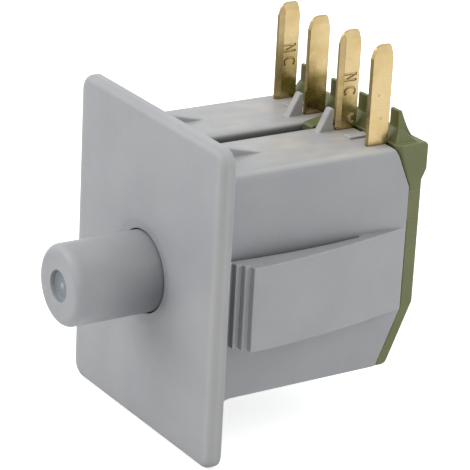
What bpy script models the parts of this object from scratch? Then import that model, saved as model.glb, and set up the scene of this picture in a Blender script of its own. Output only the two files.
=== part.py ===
"""Panel-mounted plunger switch with four blade terminals, in metres.

The origin is the centre of the bezel plate's rear face, which lies on the panel.
+X is to the right seen from the front, +Y goes back into the panel and +Z is up.
"""

import math

import bmesh
import bpy

# Bezel plate, in front of the panel
PLATE_OVERHANG = 0.0042
PLATE_HEIGHT = 0.0381
PLATE_THICKNESS = 0.00175
PLATE_CORNER_RADIUS = 0.002
PLATE_EDGE_RADIUS = 0.0009

# Housing body behind the plate
BODY_MARGIN = 0.001625
BODY_TOP = 0.01463
BODY_BOTTOM = -0.01258
BODY_DEPTH = 0.0268
WALL = 0.001
TOP_EDGE_RADIUS = 0.0012
FAR_EDGE_RADIUS = 0.0004
BOTTOM_EDGE_RADIUS = 0.0003
LOWER_CHAMFER_LENGTH = 0.00311
LOWER_CHAMFER_HEIGHT = 0.00705
UPPER_CUT_LENGTH = 0.0022
UPPER_CUT_HEIGHT = 0.005
UPPER_CUT_ROUND = 0.0003
FOOT_LENGTH = 0.0055
FOOT_DROP = 0.0015

# Groove between the two lobes of the top
GROOVE_WIDTH = 0.0025
GROOVE_DEPTH = 0.0032
GROOVE_RIM_RADIUS = 0.0009

# Snap latches on both sides
LATCH_HEIGHT = 0.01015
LATCH_DROP = 0.0004
LATCH_REACH = 0.0034
LATCH_BOW = 1.65
LATCH_SLOT = 0.00075
LATCH_SLOT_END_GAP = 0.00013
LATCH_ROOT = 0.0068
LATCH_TIP = 0.0017
STEP_COUNT = 3
STEP_DEPTH = 0.00087
STEP_LENGTH = 0.00065

# Ribs that brace the plate, gussets in front of the two inner blades, and low pads
RIB_WIDTH = 0.0012
RIB_LENGTH = 0.0102
RIB_HEIGHT = 0.00245
RIB_SHIFT = -0.00075
GUSSET_WIDTH = 0.0011
GUSSET_LENGTH = 0.002
GUSSET_HEIGHT = 0.0027
GUSSET_LAND = 0.0005
GUSSET_ROUND = 0.0002
GUSSET_GAP = 0.0004
PAD_WIDTH = 0.0013
PAD_LENGTH = 0.0028
PAD_HEIGHT = 0.0003
PAD_LEAD = 0.0005

# Blade terminals
BLADE_COUNT = 4
BLADE_PITCH = 0.00635
BLADE_ROW_SHIFT = -0.000355
BLADE_WIDTH = 0.0028
BLADE_THICKNESS = 0.0006
BLADE_SETBACK = 0.0021
BLADE_LENGTH = 0.01197
BLADE_TIP_LENGTH = 0.001
BLADE_TIP_THICKNESS = 0.00025
BLADE_CUT_LENGTH = 0.0016
BLADE_FRONT_CUT = 0.0005
BLADE_FRONT_ROUND = 0.001
BLADE_REAR_CUT = 0.00035
BLADE_REAR_ROUND = 0.0004
BLADE_LONG_BEVEL = 0.00065
SHOULDER_STEP = 0.0008
SHOULDER_HEIGHT = 0.0028
LEG_HEIGHT = 0.0038
LEG_LENGTH = 0.0124
LEG_CLEARANCE = 0.0012
TAB_MARGIN = 0.0003
BEND_RADIUS = 0.0008

# Contact rivets, two on the terminals and two on the bridge of each pole
RIVET_HEAD_RADIUS = 0.0009
RIVET_HEAD_HEIGHT = 0.00055
RIVET_SHANK_RADIUS = 0.00045
RIVET_CROWN_RADIUS = 0.00068
RIVET_CROWN_HEIGHT = 0.0002

# Contact bridges and the springs behind them
BRIDGE_HEIGHT = 0.0026
BRIDGE_THICKNESS = 0.0005
BRIDGE_CORNER_RADIUS = 0.0005
CONTACT_SPRING_RADIUS = 0.00085
CONTACT_SPRING_WIRE = 0.00025
CONTACT_SPRING_TURNS = 4.5

# Plunger
PLUNGER_AXIS = (-0.00045, 0, -0.0002)
PLUNGER_RADIUS = 0.00482
PLUNGER_LENGTH = 0.01257
PLUNGER_TIP_ROUND = 0.001
DIMPLE_RADIUS = 0.002
DIMPLE_DEPTH = 0.0005
TRAVEL = 0.008
FLANGE_STEP = 0.0013
FLANGE_THICKNESS = 0.0018
BARREL_WALL = 0.0012
BORE_FLOOR = 0.003
CARRIER_HEIGHT = 0.0052
POST_WIDTH = 0.001
POST_BAR = 0.0008
STOP_GAP = 0.00075

# Recess in the plate round the plunger
RECESS_STEP = 0.00114
RECESS_DEPTH = 0.0001

# Return spring and its spigot
SPRING_RADIUS = 0.00225
SPRING_WIRE = 0.0004
SPRING_TURNS = 12
SPIGOT_LENGTH = 0.003

# Inner walls of the housing
GUIDE_THICKNESS = 0.0008
GUIDE_WIDTH = 0.0009
GUIDE_LEAD = 0.005
BACKING_THICKNESS = 0.001
BACKING_CLEARANCE = 0.0006

# Rear cover
COVER_THICKNESS = 0.00157
COVER_CHAMFER_THICKNESS = 0.0012
COVER_CORNER_RADIUS = 0.0009
COVER_RAISE = 0.0001
BLOCK_RISE = 0.00022
BLOCK_STEP = 0.00062
BLOCK_RADIUS = 0.0006
BLOCK_LEDGE = 0.0004
BLOCK_CORNER = 0.0006
RIDGE_INSET = 0.00045
RIDGE_SETBACK = 0.00065
RIDGE_LAND = 0.0006
RIDGE_HEIGHT = 0.0016
RIDGE_HOLLOW = 1.7
FIN_WIDTH = 0.0017
FIN_HEIGHT = 0.00215
FIN_LAND = 0.00045
FIN_INSET = 0.0003
TONGUE_LENGTH = 0.00685
TONGUE_THICKNESS = 0.0029
TONGUE_LEAD = 0.00008
TONGUE_RISE = 0.0012
TONGUE_ROUND = 0.0003
LIP_THICKNESS = 0.0008
LIP_DEPTH = 0.0012

# Clearances between pieces, and how far joined shapes run into each other
HOLE_CLEARANCE = 0.00013
SEAT_GAP = 0.00025
RIVET_GAP = 0.00006
CONTACT_GAP = 0.00025
GUIDE_CLEARANCE = 0.0003
SPRING_CLEARANCE = 0.00035
OVERLAP = 0.0004

ARC_STEPS = 4
CORNER_STEPS = 6
ROUND_SEGMENTS = 56
SPIGOT_SEGMENTS = 24
RIVET_SEGMENTS = 16
COIL_STEPS = 14
CLOSED_TURN_PITCH = 1.1
SMOOTH_ANGLE = math.radians(35)

# Housing, worked out: its width holds the row of blades, with a margin at both ends
HALF_BODY = ((BLADE_COUNT - 1) * BLADE_PITCH + BLADE_THICKNESS) / 2 + BODY_MARGIN
PLATE_WIDTH = 2 * (HALF_BODY + PLATE_OVERHANG)
INNER_HALF = HALF_BODY - WALL
INNER_TOP = BODY_TOP - WALL
GROOVE_FLOOR = BODY_TOP - GROOVE_DEPTH
LATCH_SHOULDER = LATCH_TIP + STEP_COUNT * STEP_LENGTH
LATCH_SLOT_END = BODY_DEPTH - LATCH_ROOT
HOLE_RADIUS = PLUNGER_RADIUS + HOLE_CLEARANCE

# Blades and poles, worked out: blades 1 and 2 serve the first pole, 3 and 4 the second
BLADE_CENTRES = [
    BLADE_ROW_SHIFT + (i - (BLADE_COUNT - 1) / 2) * BLADE_PITCH for i in range(BLADE_COUNT)
]
POLE_CENTRES = [(BLADE_CENTRES[i] + BLADE_CENTRES[i + 1]) / 2 for i in range(0, BLADE_COUNT, 2)]
BLADE_REAR = BODY_DEPTH - BLADE_SETBACK
BLADE_FRONT = BLADE_REAR - BLADE_WIDTH
BLADE_TOP = BODY_TOP + BLADE_LENGTH

# Plunger barrel, worked out from the spring inside it
BORE_RADIUS = SPRING_RADIUS + SPRING_WIRE / 2 + SPRING_CLEARANCE
SPIGOT_RADIUS = SPRING_RADIUS - SPRING_WIRE / 2 - SPRING_CLEARANCE
BARREL_RADIUS = BORE_RADIUS + BARREL_WALL

# Contacts along Y, worked out from the front of the folded tabs
LEG_BOTTOM = BARREL_RADIUS + LEG_CLEARANCE
LEG_TOP = LEG_BOTTOM + LEG_HEIGHT
CONTACT_HEIGHT = LEG_BOTTOM + LEG_HEIGHT / 2
LEG_FRONT = BLADE_REAR - LEG_LENGTH
TAB_REAR = LEG_FRONT + BLADE_THICKNESS
FIXED_HEAD = TAB_REAR + RIVET_GAP
MOVING_HEAD = FIXED_HEAD + 2 * RIVET_HEAD_HEIGHT + CONTACT_GAP
BRIDGE_FRONT = MOVING_HEAD + RIVET_GAP
BRIDGE_REAR = BRIDGE_FRONT + BRIDGE_THICKNESS
BRIDGE_LENGTH = BLADE_PITCH - BLADE_THICKNESS - 2 * SEAT_GAP
CONTACT_SPACING = BRIDGE_LENGTH - 2 * RIVET_HEAD_RADIUS
TAB_REACH = (BLADE_PITCH - BLADE_THICKNESS - CONTACT_SPACING) / 2 + RIVET_HEAD_RADIUS + TAB_MARGIN

# Cover and carrier along Y, worked out from the body's rear face
COVER_FRONT = BODY_DEPTH + SEAT_GAP
COVER_REAR = COVER_FRONT + COVER_THICKNESS
CARRIER_FRONT = TAB_REAR + GUIDE_CLEARANCE
CARRIER_REAR = COVER_FRONT - STOP_GAP - TRAVEL
WINDOW_REAR = CARRIER_REAR - POST_BAR
BLOCK_FRONT = BLADE_REAR + SEAT_GAP
BLOCK_REAR = COVER_REAR + BLOCK_STEP
BLOCK_TOP = BODY_TOP + BLOCK_RISE
BLOCK_BOTTOM = BODY_TOP - UPPER_CUT_HEIGHT + BLOCK_STEP
RIDGE_FRONT = BLOCK_FRONT + RIDGE_SETBACK
RIDGE_TOP = BLOCK_TOP + RIDGE_HEIGHT
FIN_TOP = RIDGE_TOP + FIN_HEIGHT


def material(name, colour, roughness, metallic=0.0):
    """Returns a new Principled material of one colour."""
    made = bpy.data.materials.new(name)
    made.use_nodes = True
    shader = made.node_tree.nodes["Principled BSDF"]
    shader.inputs["Base Color"].default_value = (*colour, 1.0)
    shader.inputs["Roughness"].default_value = roughness
    shader.inputs["Metallic"].default_value = metallic
    return made


def make_object(name, mesh):
    """Links a bmesh into the scene as a named object and frees the bmesh."""
    bmesh.ops.recalc_face_normals(mesh, faces=mesh.faces)
    data = bpy.data.meshes.new(name)
    mesh.to_mesh(data)
    mesh.free()
    made = bpy.data.objects.new(name, data)
    bpy.context.scene.collection.objects.link(made)
    return made


def finish_object(body, finish):
    """Gives a finished solid its material and smooth shading on its round faces."""
    body.data.materials.clear()
    body.data.materials.append(finish)
    body.data.shade_smooth()
    body.data.set_sharp_from_angle(angle=SMOOTH_ANGLE)
    return body


def combine(body, tool, operation):
    """Applies an exact Boolean of the tool to the body and removes the tool."""
    step = body.modifiers.new("combine", "BOOLEAN")
    step.object = tool
    step.operation = operation
    step.solver = "EXACT"
    graph = bpy.context.evaluated_depsgraph_get()
    result = bpy.data.meshes.new_from_object(body.evaluated_get(graph))
    body.modifiers.clear()
    body.data = result
    bpy.data.objects.remove(tool)


def add(body, tool):
    combine(body, tool, "UNION")


def cut(body, tool):
    combine(body, tool, "DIFFERENCE")


def rounded(corners, steps=ARC_STEPS):
    """Returns the outline of (a, b, radius) corners with each corner turned into an arc."""
    outline = []
    for i, (a, b, radius) in enumerate(corners):
        before = corners[i - 1]
        after = corners[(i + 1) % len(corners)]
        if radius == 0:
            outline.append((a, b))
            continue
        to_before = unit(before[0] - a, before[1] - b)
        to_after = unit(after[0] - a, after[1] - b)
        half = math.acos(to_before[0] * to_after[0] + to_before[1] * to_after[1]) / 2
        middle = unit(to_before[0] + to_after[0], to_before[1] + to_after[1])
        centre = [(a, b)[k] + middle[k] * radius / math.sin(half) for k in (0, 1)]
        reach = radius / math.tan(half)
        start = math.atan2(b + to_before[1] * reach - centre[1], a + to_before[0] * reach - centre[0])
        end = math.atan2(b + to_after[1] * reach - centre[1], a + to_after[0] * reach - centre[0])
        turn = math.remainder(end - start, math.tau)
        for j in range(steps + 1):
            angle = start + turn * j / steps
            outline.append((centre[0] + radius * math.cos(angle), centre[1] + radius * math.sin(angle)))
    return outline


def unit(a, b):
    length = math.hypot(a, b)
    return a / length, b / length


def prism(outline, axis, low, high):
    """Returns an object: the outline extruded along one axis, from low to high.

    The outline's two numbers are (y, z) along X, (x, z) along Y and (x, y) along Z.
    """
    place = {
        "X": lambda a, b, along: (along, a, b),
        "Y": lambda a, b, along: (a, along, b),
        "Z": lambda a, b, along: (a, b, along),
    }[axis]
    mesh = bmesh.new()
    near = [mesh.verts.new(place(a, b, low)) for a, b in outline]
    far = [mesh.verts.new(place(a, b, high)) for a, b in outline]
    mesh.faces.new(near)
    mesh.faces.new(reversed(far))
    for i in range(len(outline)):
        mesh.faces.new((near[i - 1], near[i], far[i], far[i - 1]))
    return make_object("prism", mesh)


def block(low, high):
    """Returns a box between two opposite corners."""
    outline = [(low[0], low[1]), (high[0], low[1]), (high[0], high[1]), (low[0], high[1])]
    return prism(outline, "Z", low[2], high[2])


def turned(outline, segments, centre=(0, 0, 0)):
    """Returns an object: a closed (radius, y) outline turned about an axis along Y."""
    mesh = bmesh.new()
    rings = []
    for radius, along in outline:
        count = segments if radius > 0 else 1
        rings.append(
            [
                mesh.verts.new(
                    (
                        centre[0] + radius * math.cos(math.tau * i / segments),
                        centre[1] + along,
                        centre[2] + radius * math.sin(math.tau * i / segments),
                    )
                )
                for i in range(count)
            ]
        )
    for ring, following in zip(rings, rings[1:] + rings[:1]):
        for i in range(segments):
            j = (i + 1) % segments
            corners = [ring[i % len(ring)], ring[j % len(ring)]]
            corners += [following[j % len(following)], following[i % len(following)]]
            corners = list(dict.fromkeys(corners))
            if len(corners) > 2:
                mesh.faces.new(corners)
    return make_object("turned", mesh)


def disc(radius, low, high, centre=(0, 0, 0), segments=ROUND_SEGMENTS):
    """Returns a cylinder along Y."""
    return turned([(0, low), (radius, low), (radius, high), (0, high)], segments, centre)


def coil(name, radius, wire, turns, start, end, centre, finish):
    """Returns a compression spring along Y with closed end turns."""
    count = round(turns * COIL_STEPS)
    closed = wire * CLOSED_TURN_PITCH
    spread = (end - start - wire - 2 * closed) / (turns - 2)
    curve = bpy.data.curves.new(name, "CURVE")
    curve.dimensions = "3D"
    curve.bevel_depth = wire / 2
    curve.bevel_resolution = 1
    curve.use_fill_caps = True
    spline = curve.splines.new("POLY")
    spline.points.add(count)
    for i, point in enumerate(spline.points):
        turn = turns * i / count
        along = closed * min(turn, 1) + spread * min(max(turn - 1, 0), turns - 2)
        along += closed * max(turn - turns + 1, 0)
        angle = math.tau * turn
        point.co = (
            centre[0] + radius * math.cos(angle),
            start + wire / 2 + along,
            centre[2] + radius * math.sin(angle),
            1,
        )
    made = bpy.data.objects.new(name, curve)
    bpy.context.scene.collection.objects.link(made)
    curve.materials.append(finish)
    return made


def bezel_plate():
    """The square plate, rounded on its front edges."""
    half_width, half_height = PLATE_WIDTH / 2, PLATE_HEIGHT / 2
    layers = [(0, 0)]
    for i in range(ARC_STEPS + 1):
        angle = math.pi / 2 * i / ARC_STEPS
        inset = PLATE_EDGE_RADIUS * (1 - math.cos(angle))
        layers.append((PLATE_THICKNESS - PLATE_EDGE_RADIUS * (1 - math.sin(angle)), inset))
    mesh = bmesh.new()
    loops = []
    for depth, inset in layers:
        radius = PLATE_CORNER_RADIUS - inset
        a, b = half_width - inset, half_height - inset
        corners = [(-a, -b, radius), (a, -b, radius), (a, b, radius), (-a, b, radius)]
        outline = rounded(corners, CORNER_STEPS)
        loops.append([mesh.verts.new((x, -depth, z)) for x, z in outline])
    for loop, following in zip(loops, loops[1:]):
        for i in range(len(loop)):
            mesh.faces.new((loop[i - 1], loop[i], following[i], following[i - 1]))
    mesh.faces.new(loops[0])
    mesh.faces.new(reversed(loops[-1]))
    return make_object("housing", mesh)


def body_section(inset):
    """The body's outline seen from the front, with the groove in its top, moved in by inset."""
    side = HALF_BODY - inset
    top, bottom = BODY_TOP - inset, BODY_BOTTOM + inset
    groove = GROOVE_WIDTH / 2 + inset
    floor = GROOVE_FLOOR - inset
    near = max(TOP_EDGE_RADIUS - inset, 0)
    far = max(FAR_EDGE_RADIUS - inset, 0)
    rim = max(GROOVE_RIM_RADIUS - inset, 0)
    lower = max(BOTTOM_EDGE_RADIUS - inset, 0)
    return rounded(
        [
            (groove, floor, 0),
            (groove, top, rim),
            (side, top, near),
            (side, bottom, lower),
            (-side, bottom, lower),
            (-side, top, far),
            (-groove, top, rim),
            (-groove, floor, 0),
        ]
    )


def body_profile():
    """The body's outline seen from the side, with its cut upper and lower rear corners."""
    front = -PLATE_THICKNESS / 2
    reach = BODY_TOP + OVERLAP
    drop = BODY_BOTTOM - OVERLAP
    slope = LOWER_CHAMFER_LENGTH / LOWER_CHAMFER_HEIGHT
    corner = BODY_BOTTOM + LOWER_CHAMFER_HEIGHT
    upper = BODY_TOP - UPPER_CUT_HEIGHT
    rise = UPPER_CUT_LENGTH / UPPER_CUT_HEIGHT
    return [
        (front, drop),
        (BODY_DEPTH - slope * (corner - drop), drop),
        (BODY_DEPTH, corner),
        (BODY_DEPTH, upper),
        (BODY_DEPTH - UPPER_CUT_LENGTH + rise * UPPER_CUT_ROUND, BODY_TOP - UPPER_CUT_ROUND),
        (BODY_DEPTH - UPPER_CUT_LENGTH - UPPER_CUT_ROUND, BODY_TOP),
        (BODY_DEPTH - UPPER_CUT_LENGTH - UPPER_CUT_ROUND, reach),
        (front, reach),
    ]


def foot():
    """The curved foot that braces the plate under the body."""
    front, inside = -PLATE_THICKNESS / 2, BODY_BOTTOM + WALL / 2
    outline = [(front, inside), (front, BODY_BOTTOM - FOOT_DROP)]
    steps = 2 * ARC_STEPS
    for i in range(steps + 1):
        outline.append((FOOT_LENGTH * i / steps, BODY_BOTTOM - FOOT_DROP * (1 - i / steps) ** 2))
    outline.append((FOOT_LENGTH, inside))
    return prism(outline, "X", -HALF_BODY + BOTTOM_EDGE_RADIUS, HALF_BODY - BOTTOM_EDGE_RADIUS)


def latch_outline():
    """One latch arm seen from above, on the +X side, with its slot and its steps."""
    steps = 3 * ARC_STEPS
    span = BODY_DEPTH - LATCH_SHOULDER
    outline = []
    for i in range(steps + 1):
        share = i / steps
        outline.append((HALF_BODY + LATCH_REACH * (1 - share**LATCH_BOW), LATCH_SHOULDER + span * share))
    outline += [(HALF_BODY - WALL / 2, BODY_DEPTH), (HALF_BODY - WALL / 2, LATCH_SLOT_END)]
    for i in range(steps + 1):
        along = LATCH_SLOT_END + (LATCH_TIP - LATCH_SLOT_END) * i / steps
        gap = LATCH_SLOT - (LATCH_SLOT - LATCH_SLOT_END_GAP) * (2 * i / steps - 1) ** 2
        outline.append((HALF_BODY + gap, along))
    for i in range(STEP_COUNT):
        side = HALF_BODY + LATCH_REACH - (STEP_COUNT - i) * STEP_DEPTH
        front = LATCH_TIP + i * STEP_LENGTH
        outline += [(side, front), (side, front + STEP_LENGTH)]
    return outline


def brace_rib(centre):
    """A low rib on one lobe that runs down from the plate."""
    outline = [
        (-PLATE_THICKNESS / 2, BODY_TOP + RIB_HEIGHT),
        (0, BODY_TOP + RIB_HEIGHT),
        (RIB_LENGTH, BODY_TOP),
        (RIB_LENGTH, BODY_TOP - WALL / 2),
        (-PLATE_THICKNESS / 2, BODY_TOP - WALL / 2),
    ]
    return prism(outline, "X", centre - RIB_WIDTH / 2, centre + RIB_WIDTH / 2)


def gusset(centre):
    """The small sloped fin in front of an inner blade, flush with the blade's +X face."""
    rear = BLADE_FRONT - GUSSET_GAP
    top = BODY_TOP + GUSSET_HEIGHT
    outline = [
        (rear - GUSSET_LENGTH, BODY_TOP, 0),
        (rear - GUSSET_LENGTH, BODY_TOP - WALL / 2, 0),
        (rear, BODY_TOP - WALL / 2, 0),
        (rear, top, GUSSET_ROUND),
        (rear - GUSSET_LAND, top, GUSSET_ROUND),
    ]
    side = centre + BLADE_THICKNESS / 2
    return prism(rounded(outline), "X", side - GUSSET_WIDTH, side)


def pad(centre):
    """The thin raised pad between the two blades of a pole."""
    front = BLADE_FRONT - PAD_LEAD
    low = (centre - PAD_WIDTH / 2, front, BODY_TOP - WALL / 2)
    return block(low, (centre + PAD_WIDTH / 2, front + PAD_LENGTH, BODY_TOP + PAD_HEIGHT))


def guide_rails(side):
    """The two rails on one inner wall that the carrier's arm slides between."""
    rails = []
    left, right = sorted((side * (INNER_HALF - GUIDE_WIDTH), side * (INNER_HALF + WALL / 2)))
    front, rear = CARRIER_FRONT - GUIDE_LEAD, BODY_DEPTH - LIP_DEPTH - SEAT_GAP
    for sign in (-1, 1):
        near = sign * (CARRIER_HEIGHT / 2 + GUIDE_CLEARANCE)
        bottom, top = sorted((near, near + sign * GUIDE_THICKNESS))
        rails.append(block((left, front, bottom), (right, rear, top)))
    return rails


def make_housing(finish):
    """The plate, the hollow body, both latches and all that is moulded with them."""
    body = prism(body_section(0), "Y", -PLATE_THICKNESS / 2, BODY_DEPTH + OVERLAP)
    combine(body, prism(body_profile(), "X", -HALF_BODY - OVERLAP, HALF_BODY + OVERLAP), "INTERSECT")
    housing = bezel_plate()
    add(housing, body)
    add(housing, foot())
    cut(housing, prism(body_section(WALL), "Y", 0, BODY_DEPTH + OVERLAP))
    for side in (-1, 1):
        outline = [(side * x, y) for x, y in latch_outline()]
        bottom = -LATCH_HEIGHT / 2 - LATCH_DROP
        add(housing, prism(outline, "Z", bottom, bottom + LATCH_HEIGHT))
        for rail in guide_rails(side):
            add(housing, rail)
    for centre in POLE_CENTRES:
        add(housing, brace_rib(centre + RIB_SHIFT))
        add(housing, pad(centre))
    for centre in BLADE_CENTRES[1:-1]:
        add(housing, gusset(centre))
    add(housing, backing_wall())
    for centre in BLADE_CENTRES:
        half = BLADE_THICKNESS / 2 + SEAT_GAP
        low = (centre - half, BLADE_FRONT - SEAT_GAP, INNER_TOP - OVERLAP)
        cut(housing, block(low, (centre + half, BODY_DEPTH + OVERLAP, BODY_TOP + WALL)))
    front = -PLATE_THICKNESS - OVERLAP
    cut(housing, disc(HOLE_RADIUS, front, OVERLAP, PLUNGER_AXIS))
    floor = -PLATE_THICKNESS + RECESS_DEPTH
    cut(housing, disc(HOLE_RADIUS + RECESS_STEP, front, floor, PLUNGER_AXIS))
    return finish_object(housing, finish)


def backing_wall():
    """The cross wall that backs the fixed contacts, above the plunger's barrel."""
    rear = LEG_FRONT - SEAT_GAP
    half = INNER_HALF + WALL / 2
    low = (-half, rear - BACKING_THICKNESS, BARREL_RADIUS + BACKING_CLEARANCE)
    return block(low, (half, rear, GROOVE_FLOOR - WALL / 2))


def cover_profile():
    """The rear cover's outline seen from the side, round the body's cut corners."""
    slope = LOWER_CHAMFER_LENGTH / LOWER_CHAMFER_HEIGHT
    stretch = math.hypot(1, slope)
    corner = BODY_BOTTOM + LOWER_CHAMFER_HEIGHT
    inner = BODY_DEPTH + SEAT_GAP * stretch
    outer = inner + COVER_CHAMFER_THICKNESS * stretch
    bottom = BODY_BOTTOM + COVER_RAISE
    inner_corner = corner - (inner - COVER_FRONT) / slope
    outer_corner = corner + (COVER_REAR - outer) / slope
    return rounded(
        [
            (COVER_FRONT, inner_corner, 0),
            (inner - slope * (corner - bottom), bottom, 0),
            (outer - slope * (corner - bottom), bottom, COVER_CORNER_RADIUS),
            (COVER_REAR, outer_corner, COVER_CORNER_RADIUS),
            (COVER_REAR, BLOCK_BOTTOM, 0),
            (BLOCK_REAR, BLOCK_BOTTOM + 2 * BLOCK_STEP, BLOCK_RADIUS),
            (BLOCK_REAR, BLOCK_TOP, BLOCK_RADIUS),
            (BLOCK_FRONT, BLOCK_TOP, 0),
            (BLOCK_FRONT, BLOCK_TOP - BLOCK_LEDGE, 0),
            (BLOCK_FRONT + BLOCK_STEP, BLOCK_TOP - COVER_CORNER_RADIUS, 0),
            (COVER_FRONT, BLOCK_BOTTOM, 0),
        ]
    )


def ridge_outline(top, land):
    """The ridge or a fin seen from the side: a sloped foot, a flat top and a hollow back."""
    rear = BLOCK_REAR - BLOCK_RADIUS
    steps = 2 * ARC_STEPS
    outline = [
        (BLOCK_FRONT, BLOCK_TOP - OVERLAP),
        (BLOCK_FRONT, BLOCK_TOP),
        (RIDGE_FRONT, RIDGE_TOP),
        (RIDGE_FRONT, top),
    ]
    for i in range(steps + 1):
        share = i / steps
        along = RIDGE_FRONT + land + (rear - RIDGE_FRONT - land) * share
        outline.append((along, BLOCK_TOP + (top - BLOCK_TOP) * (1 - share) ** RIDGE_HOLLOW))
    outline.append((rear, BLOCK_TOP - OVERLAP))
    return list(dict.fromkeys(outline))


def tongue_outline():
    """The cover's tongue in the body's groove, seen from the side, rising to the rear."""
    front, rear = BODY_DEPTH - TONGUE_LENGTH, BLOCK_FRONT + BLOCK_STEP + OVERLAP
    top = BODY_TOP + TONGUE_LEAD
    bottom = top - TONGUE_THICKNESS
    return rounded(
        [(front, bottom, 0), (rear, bottom, 0), (rear, top + TONGUE_RISE, 0), (front, top, TONGUE_ROUND)]
    )


def block_corner(side):
    """The cutter for the chamfer on one upright front edge of the cover's block."""
    reach = BLOCK_CORNER + OVERLAP
    outline = [
        (side * (HALF_BODY - BLOCK_CORNER - OVERLAP), BLOCK_FRONT - OVERLAP),
        (side * (HALF_BODY + OVERLAP), BLOCK_FRONT - OVERLAP),
        (side * (HALF_BODY + OVERLAP), BLOCK_FRONT + reach),
    ]
    return prism(outline, "Z", BLOCK_BOTTOM, BLOCK_TOP + OVERLAP)


def cover_lip():
    """The tabs that locate the cover inside the body, above and below the carrier's path."""
    half = INNER_HALF - GUIDE_CLEARANCE
    front, rear = BODY_DEPTH - LIP_DEPTH, COVER_FRONT + OVERLAP
    path = CARRIER_HEIGHT / 2 + GUIDE_CLEARANCE
    heights = [(BODY_BOTTOM + LOWER_CHAMFER_HEIGHT, -path), (path, BODY_TOP - UPPER_CUT_HEIGHT)]
    tabs = []
    for side in (-1, 1):
        near, far = sorted((side * (half - LIP_THICKNESS), side * half))
        for low, high in heights:
            tabs.append(block((near, front, low), (far, rear, high)))
    return tabs


def make_rear_cover(finish):
    """The cover with its block, fins, tongue, lip, spring spigot and terminal fingers."""
    cover = prism(cover_profile(), "X", -HALF_BODY, HALF_BODY)
    for side in (-1, 1):
        cut(cover, block_corner(side))
    half_ridge = HALF_BODY - RIDGE_INSET
    add(cover, prism(ridge_outline(RIDGE_TOP, RIDGE_LAND), "X", -half_ridge, half_ridge))
    for pitches in (0.5, 1.5):
        for side in (-1, 1):
            centre = side * (pitches * BLADE_PITCH - FIN_INSET)
            outline = ridge_outline(FIN_TOP, FIN_LAND)
            add(cover, prism(outline, "X", centre - FIN_WIDTH / 2, centre + FIN_WIDTH / 2))
    half_tongue = GROOVE_WIDTH / 2 - SEAT_GAP
    add(cover, prism(tongue_outline(), "X", -half_tongue, half_tongue))
    for tab in cover_lip():
        add(cover, tab)
    spigot_front, rear = COVER_FRONT - SPIGOT_LENGTH, COVER_FRONT + OVERLAP
    add(cover, disc(SPIGOT_RADIUS, spigot_front, rear, PLUNGER_AXIS, SPIGOT_SEGMENTS))
    half_blade = BLADE_THICKNESS / 2
    for centre in BLADE_CENTRES:
        low = (centre - half_blade, BLADE_REAR + SEAT_GAP, LEG_BOTTOM)
        add(cover, block(low, (centre + half_blade, rear, LEG_TOP)))
    cover.name = "rear_cover"
    return finish_object(cover, finish)


def make_plunger(finish):
    """The push button with its flange, barrel and the carrier of both contact bridges."""
    plunger = turned(plunger_outline(), ROUND_SEGMENTS, PLUNGER_AXIS)
    arm = INNER_HALF - GUIDE_CLEARANCE
    half = CARRIER_HEIGHT / 2
    add(plunger, block((-arm, CARRIER_FRONT, -half), (arm, CARRIER_REAR, half)))
    for centre in POLE_CENTRES:
        add(plunger, carrier_post(centre))
        cut(plunger, bridge_window(centre))
    cut(plunger, disc(BORE_RADIUS, BORE_FLOOR, CARRIER_REAR + OVERLAP, PLUNGER_AXIS))
    plunger.name = "plunger"
    return finish_object(plunger, finish)


def plunger_outline():
    """The plunger's (radius, y) outline from the dimple in its tip to the end of its barrel."""
    tip = -PLUNGER_LENGTH
    dimple_floor = tip + DIMPLE_DEPTH
    outline = [(0, dimple_floor), (DIMPLE_RADIUS - DIMPLE_DEPTH, dimple_floor), (DIMPLE_RADIUS, tip)]
    for i in range(ARC_STEPS + 1):
        angle = math.pi / 2 * i / ARC_STEPS
        radius = PLUNGER_RADIUS - PLUNGER_TIP_ROUND * (1 - math.sin(angle))
        outline.append((radius, tip + PLUNGER_TIP_ROUND * (1 - math.cos(angle))))
    flange_radius = HOLE_RADIUS + FLANGE_STEP
    flange_rear = SEAT_GAP + FLANGE_THICKNESS
    return outline + [
        (PLUNGER_RADIUS, SEAT_GAP),
        (flange_radius, SEAT_GAP),
        (flange_radius, flange_rear),
        (BARREL_RADIUS, flange_rear),
        (BARREL_RADIUS, CARRIER_REAR),
        (0, CARRIER_REAR),
    ]


def carrier_post(centre):
    """The post on the carrier's arm that one contact bridge passes through."""
    top = CONTACT_HEIGHT + BRIDGE_HEIGHT / 2 + GUIDE_CLEARANCE + POST_BAR
    low = (centre - POST_WIDTH / 2, CARRIER_FRONT, 0)
    return block(low, (centre + POST_WIDTH / 2, CARRIER_REAR, top))


def bridge_window(centre):
    """The opening through a post, with room for the bridge and its spring."""
    half = BRIDGE_HEIGHT / 2 + GUIDE_CLEARANCE
    low = (centre - POST_WIDTH, BRIDGE_FRONT - SEAT_GAP, CONTACT_HEIGHT - half)
    return block(low, (centre + POST_WIDTH, WINDOW_REAR, CONTACT_HEIGHT + half))


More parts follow.
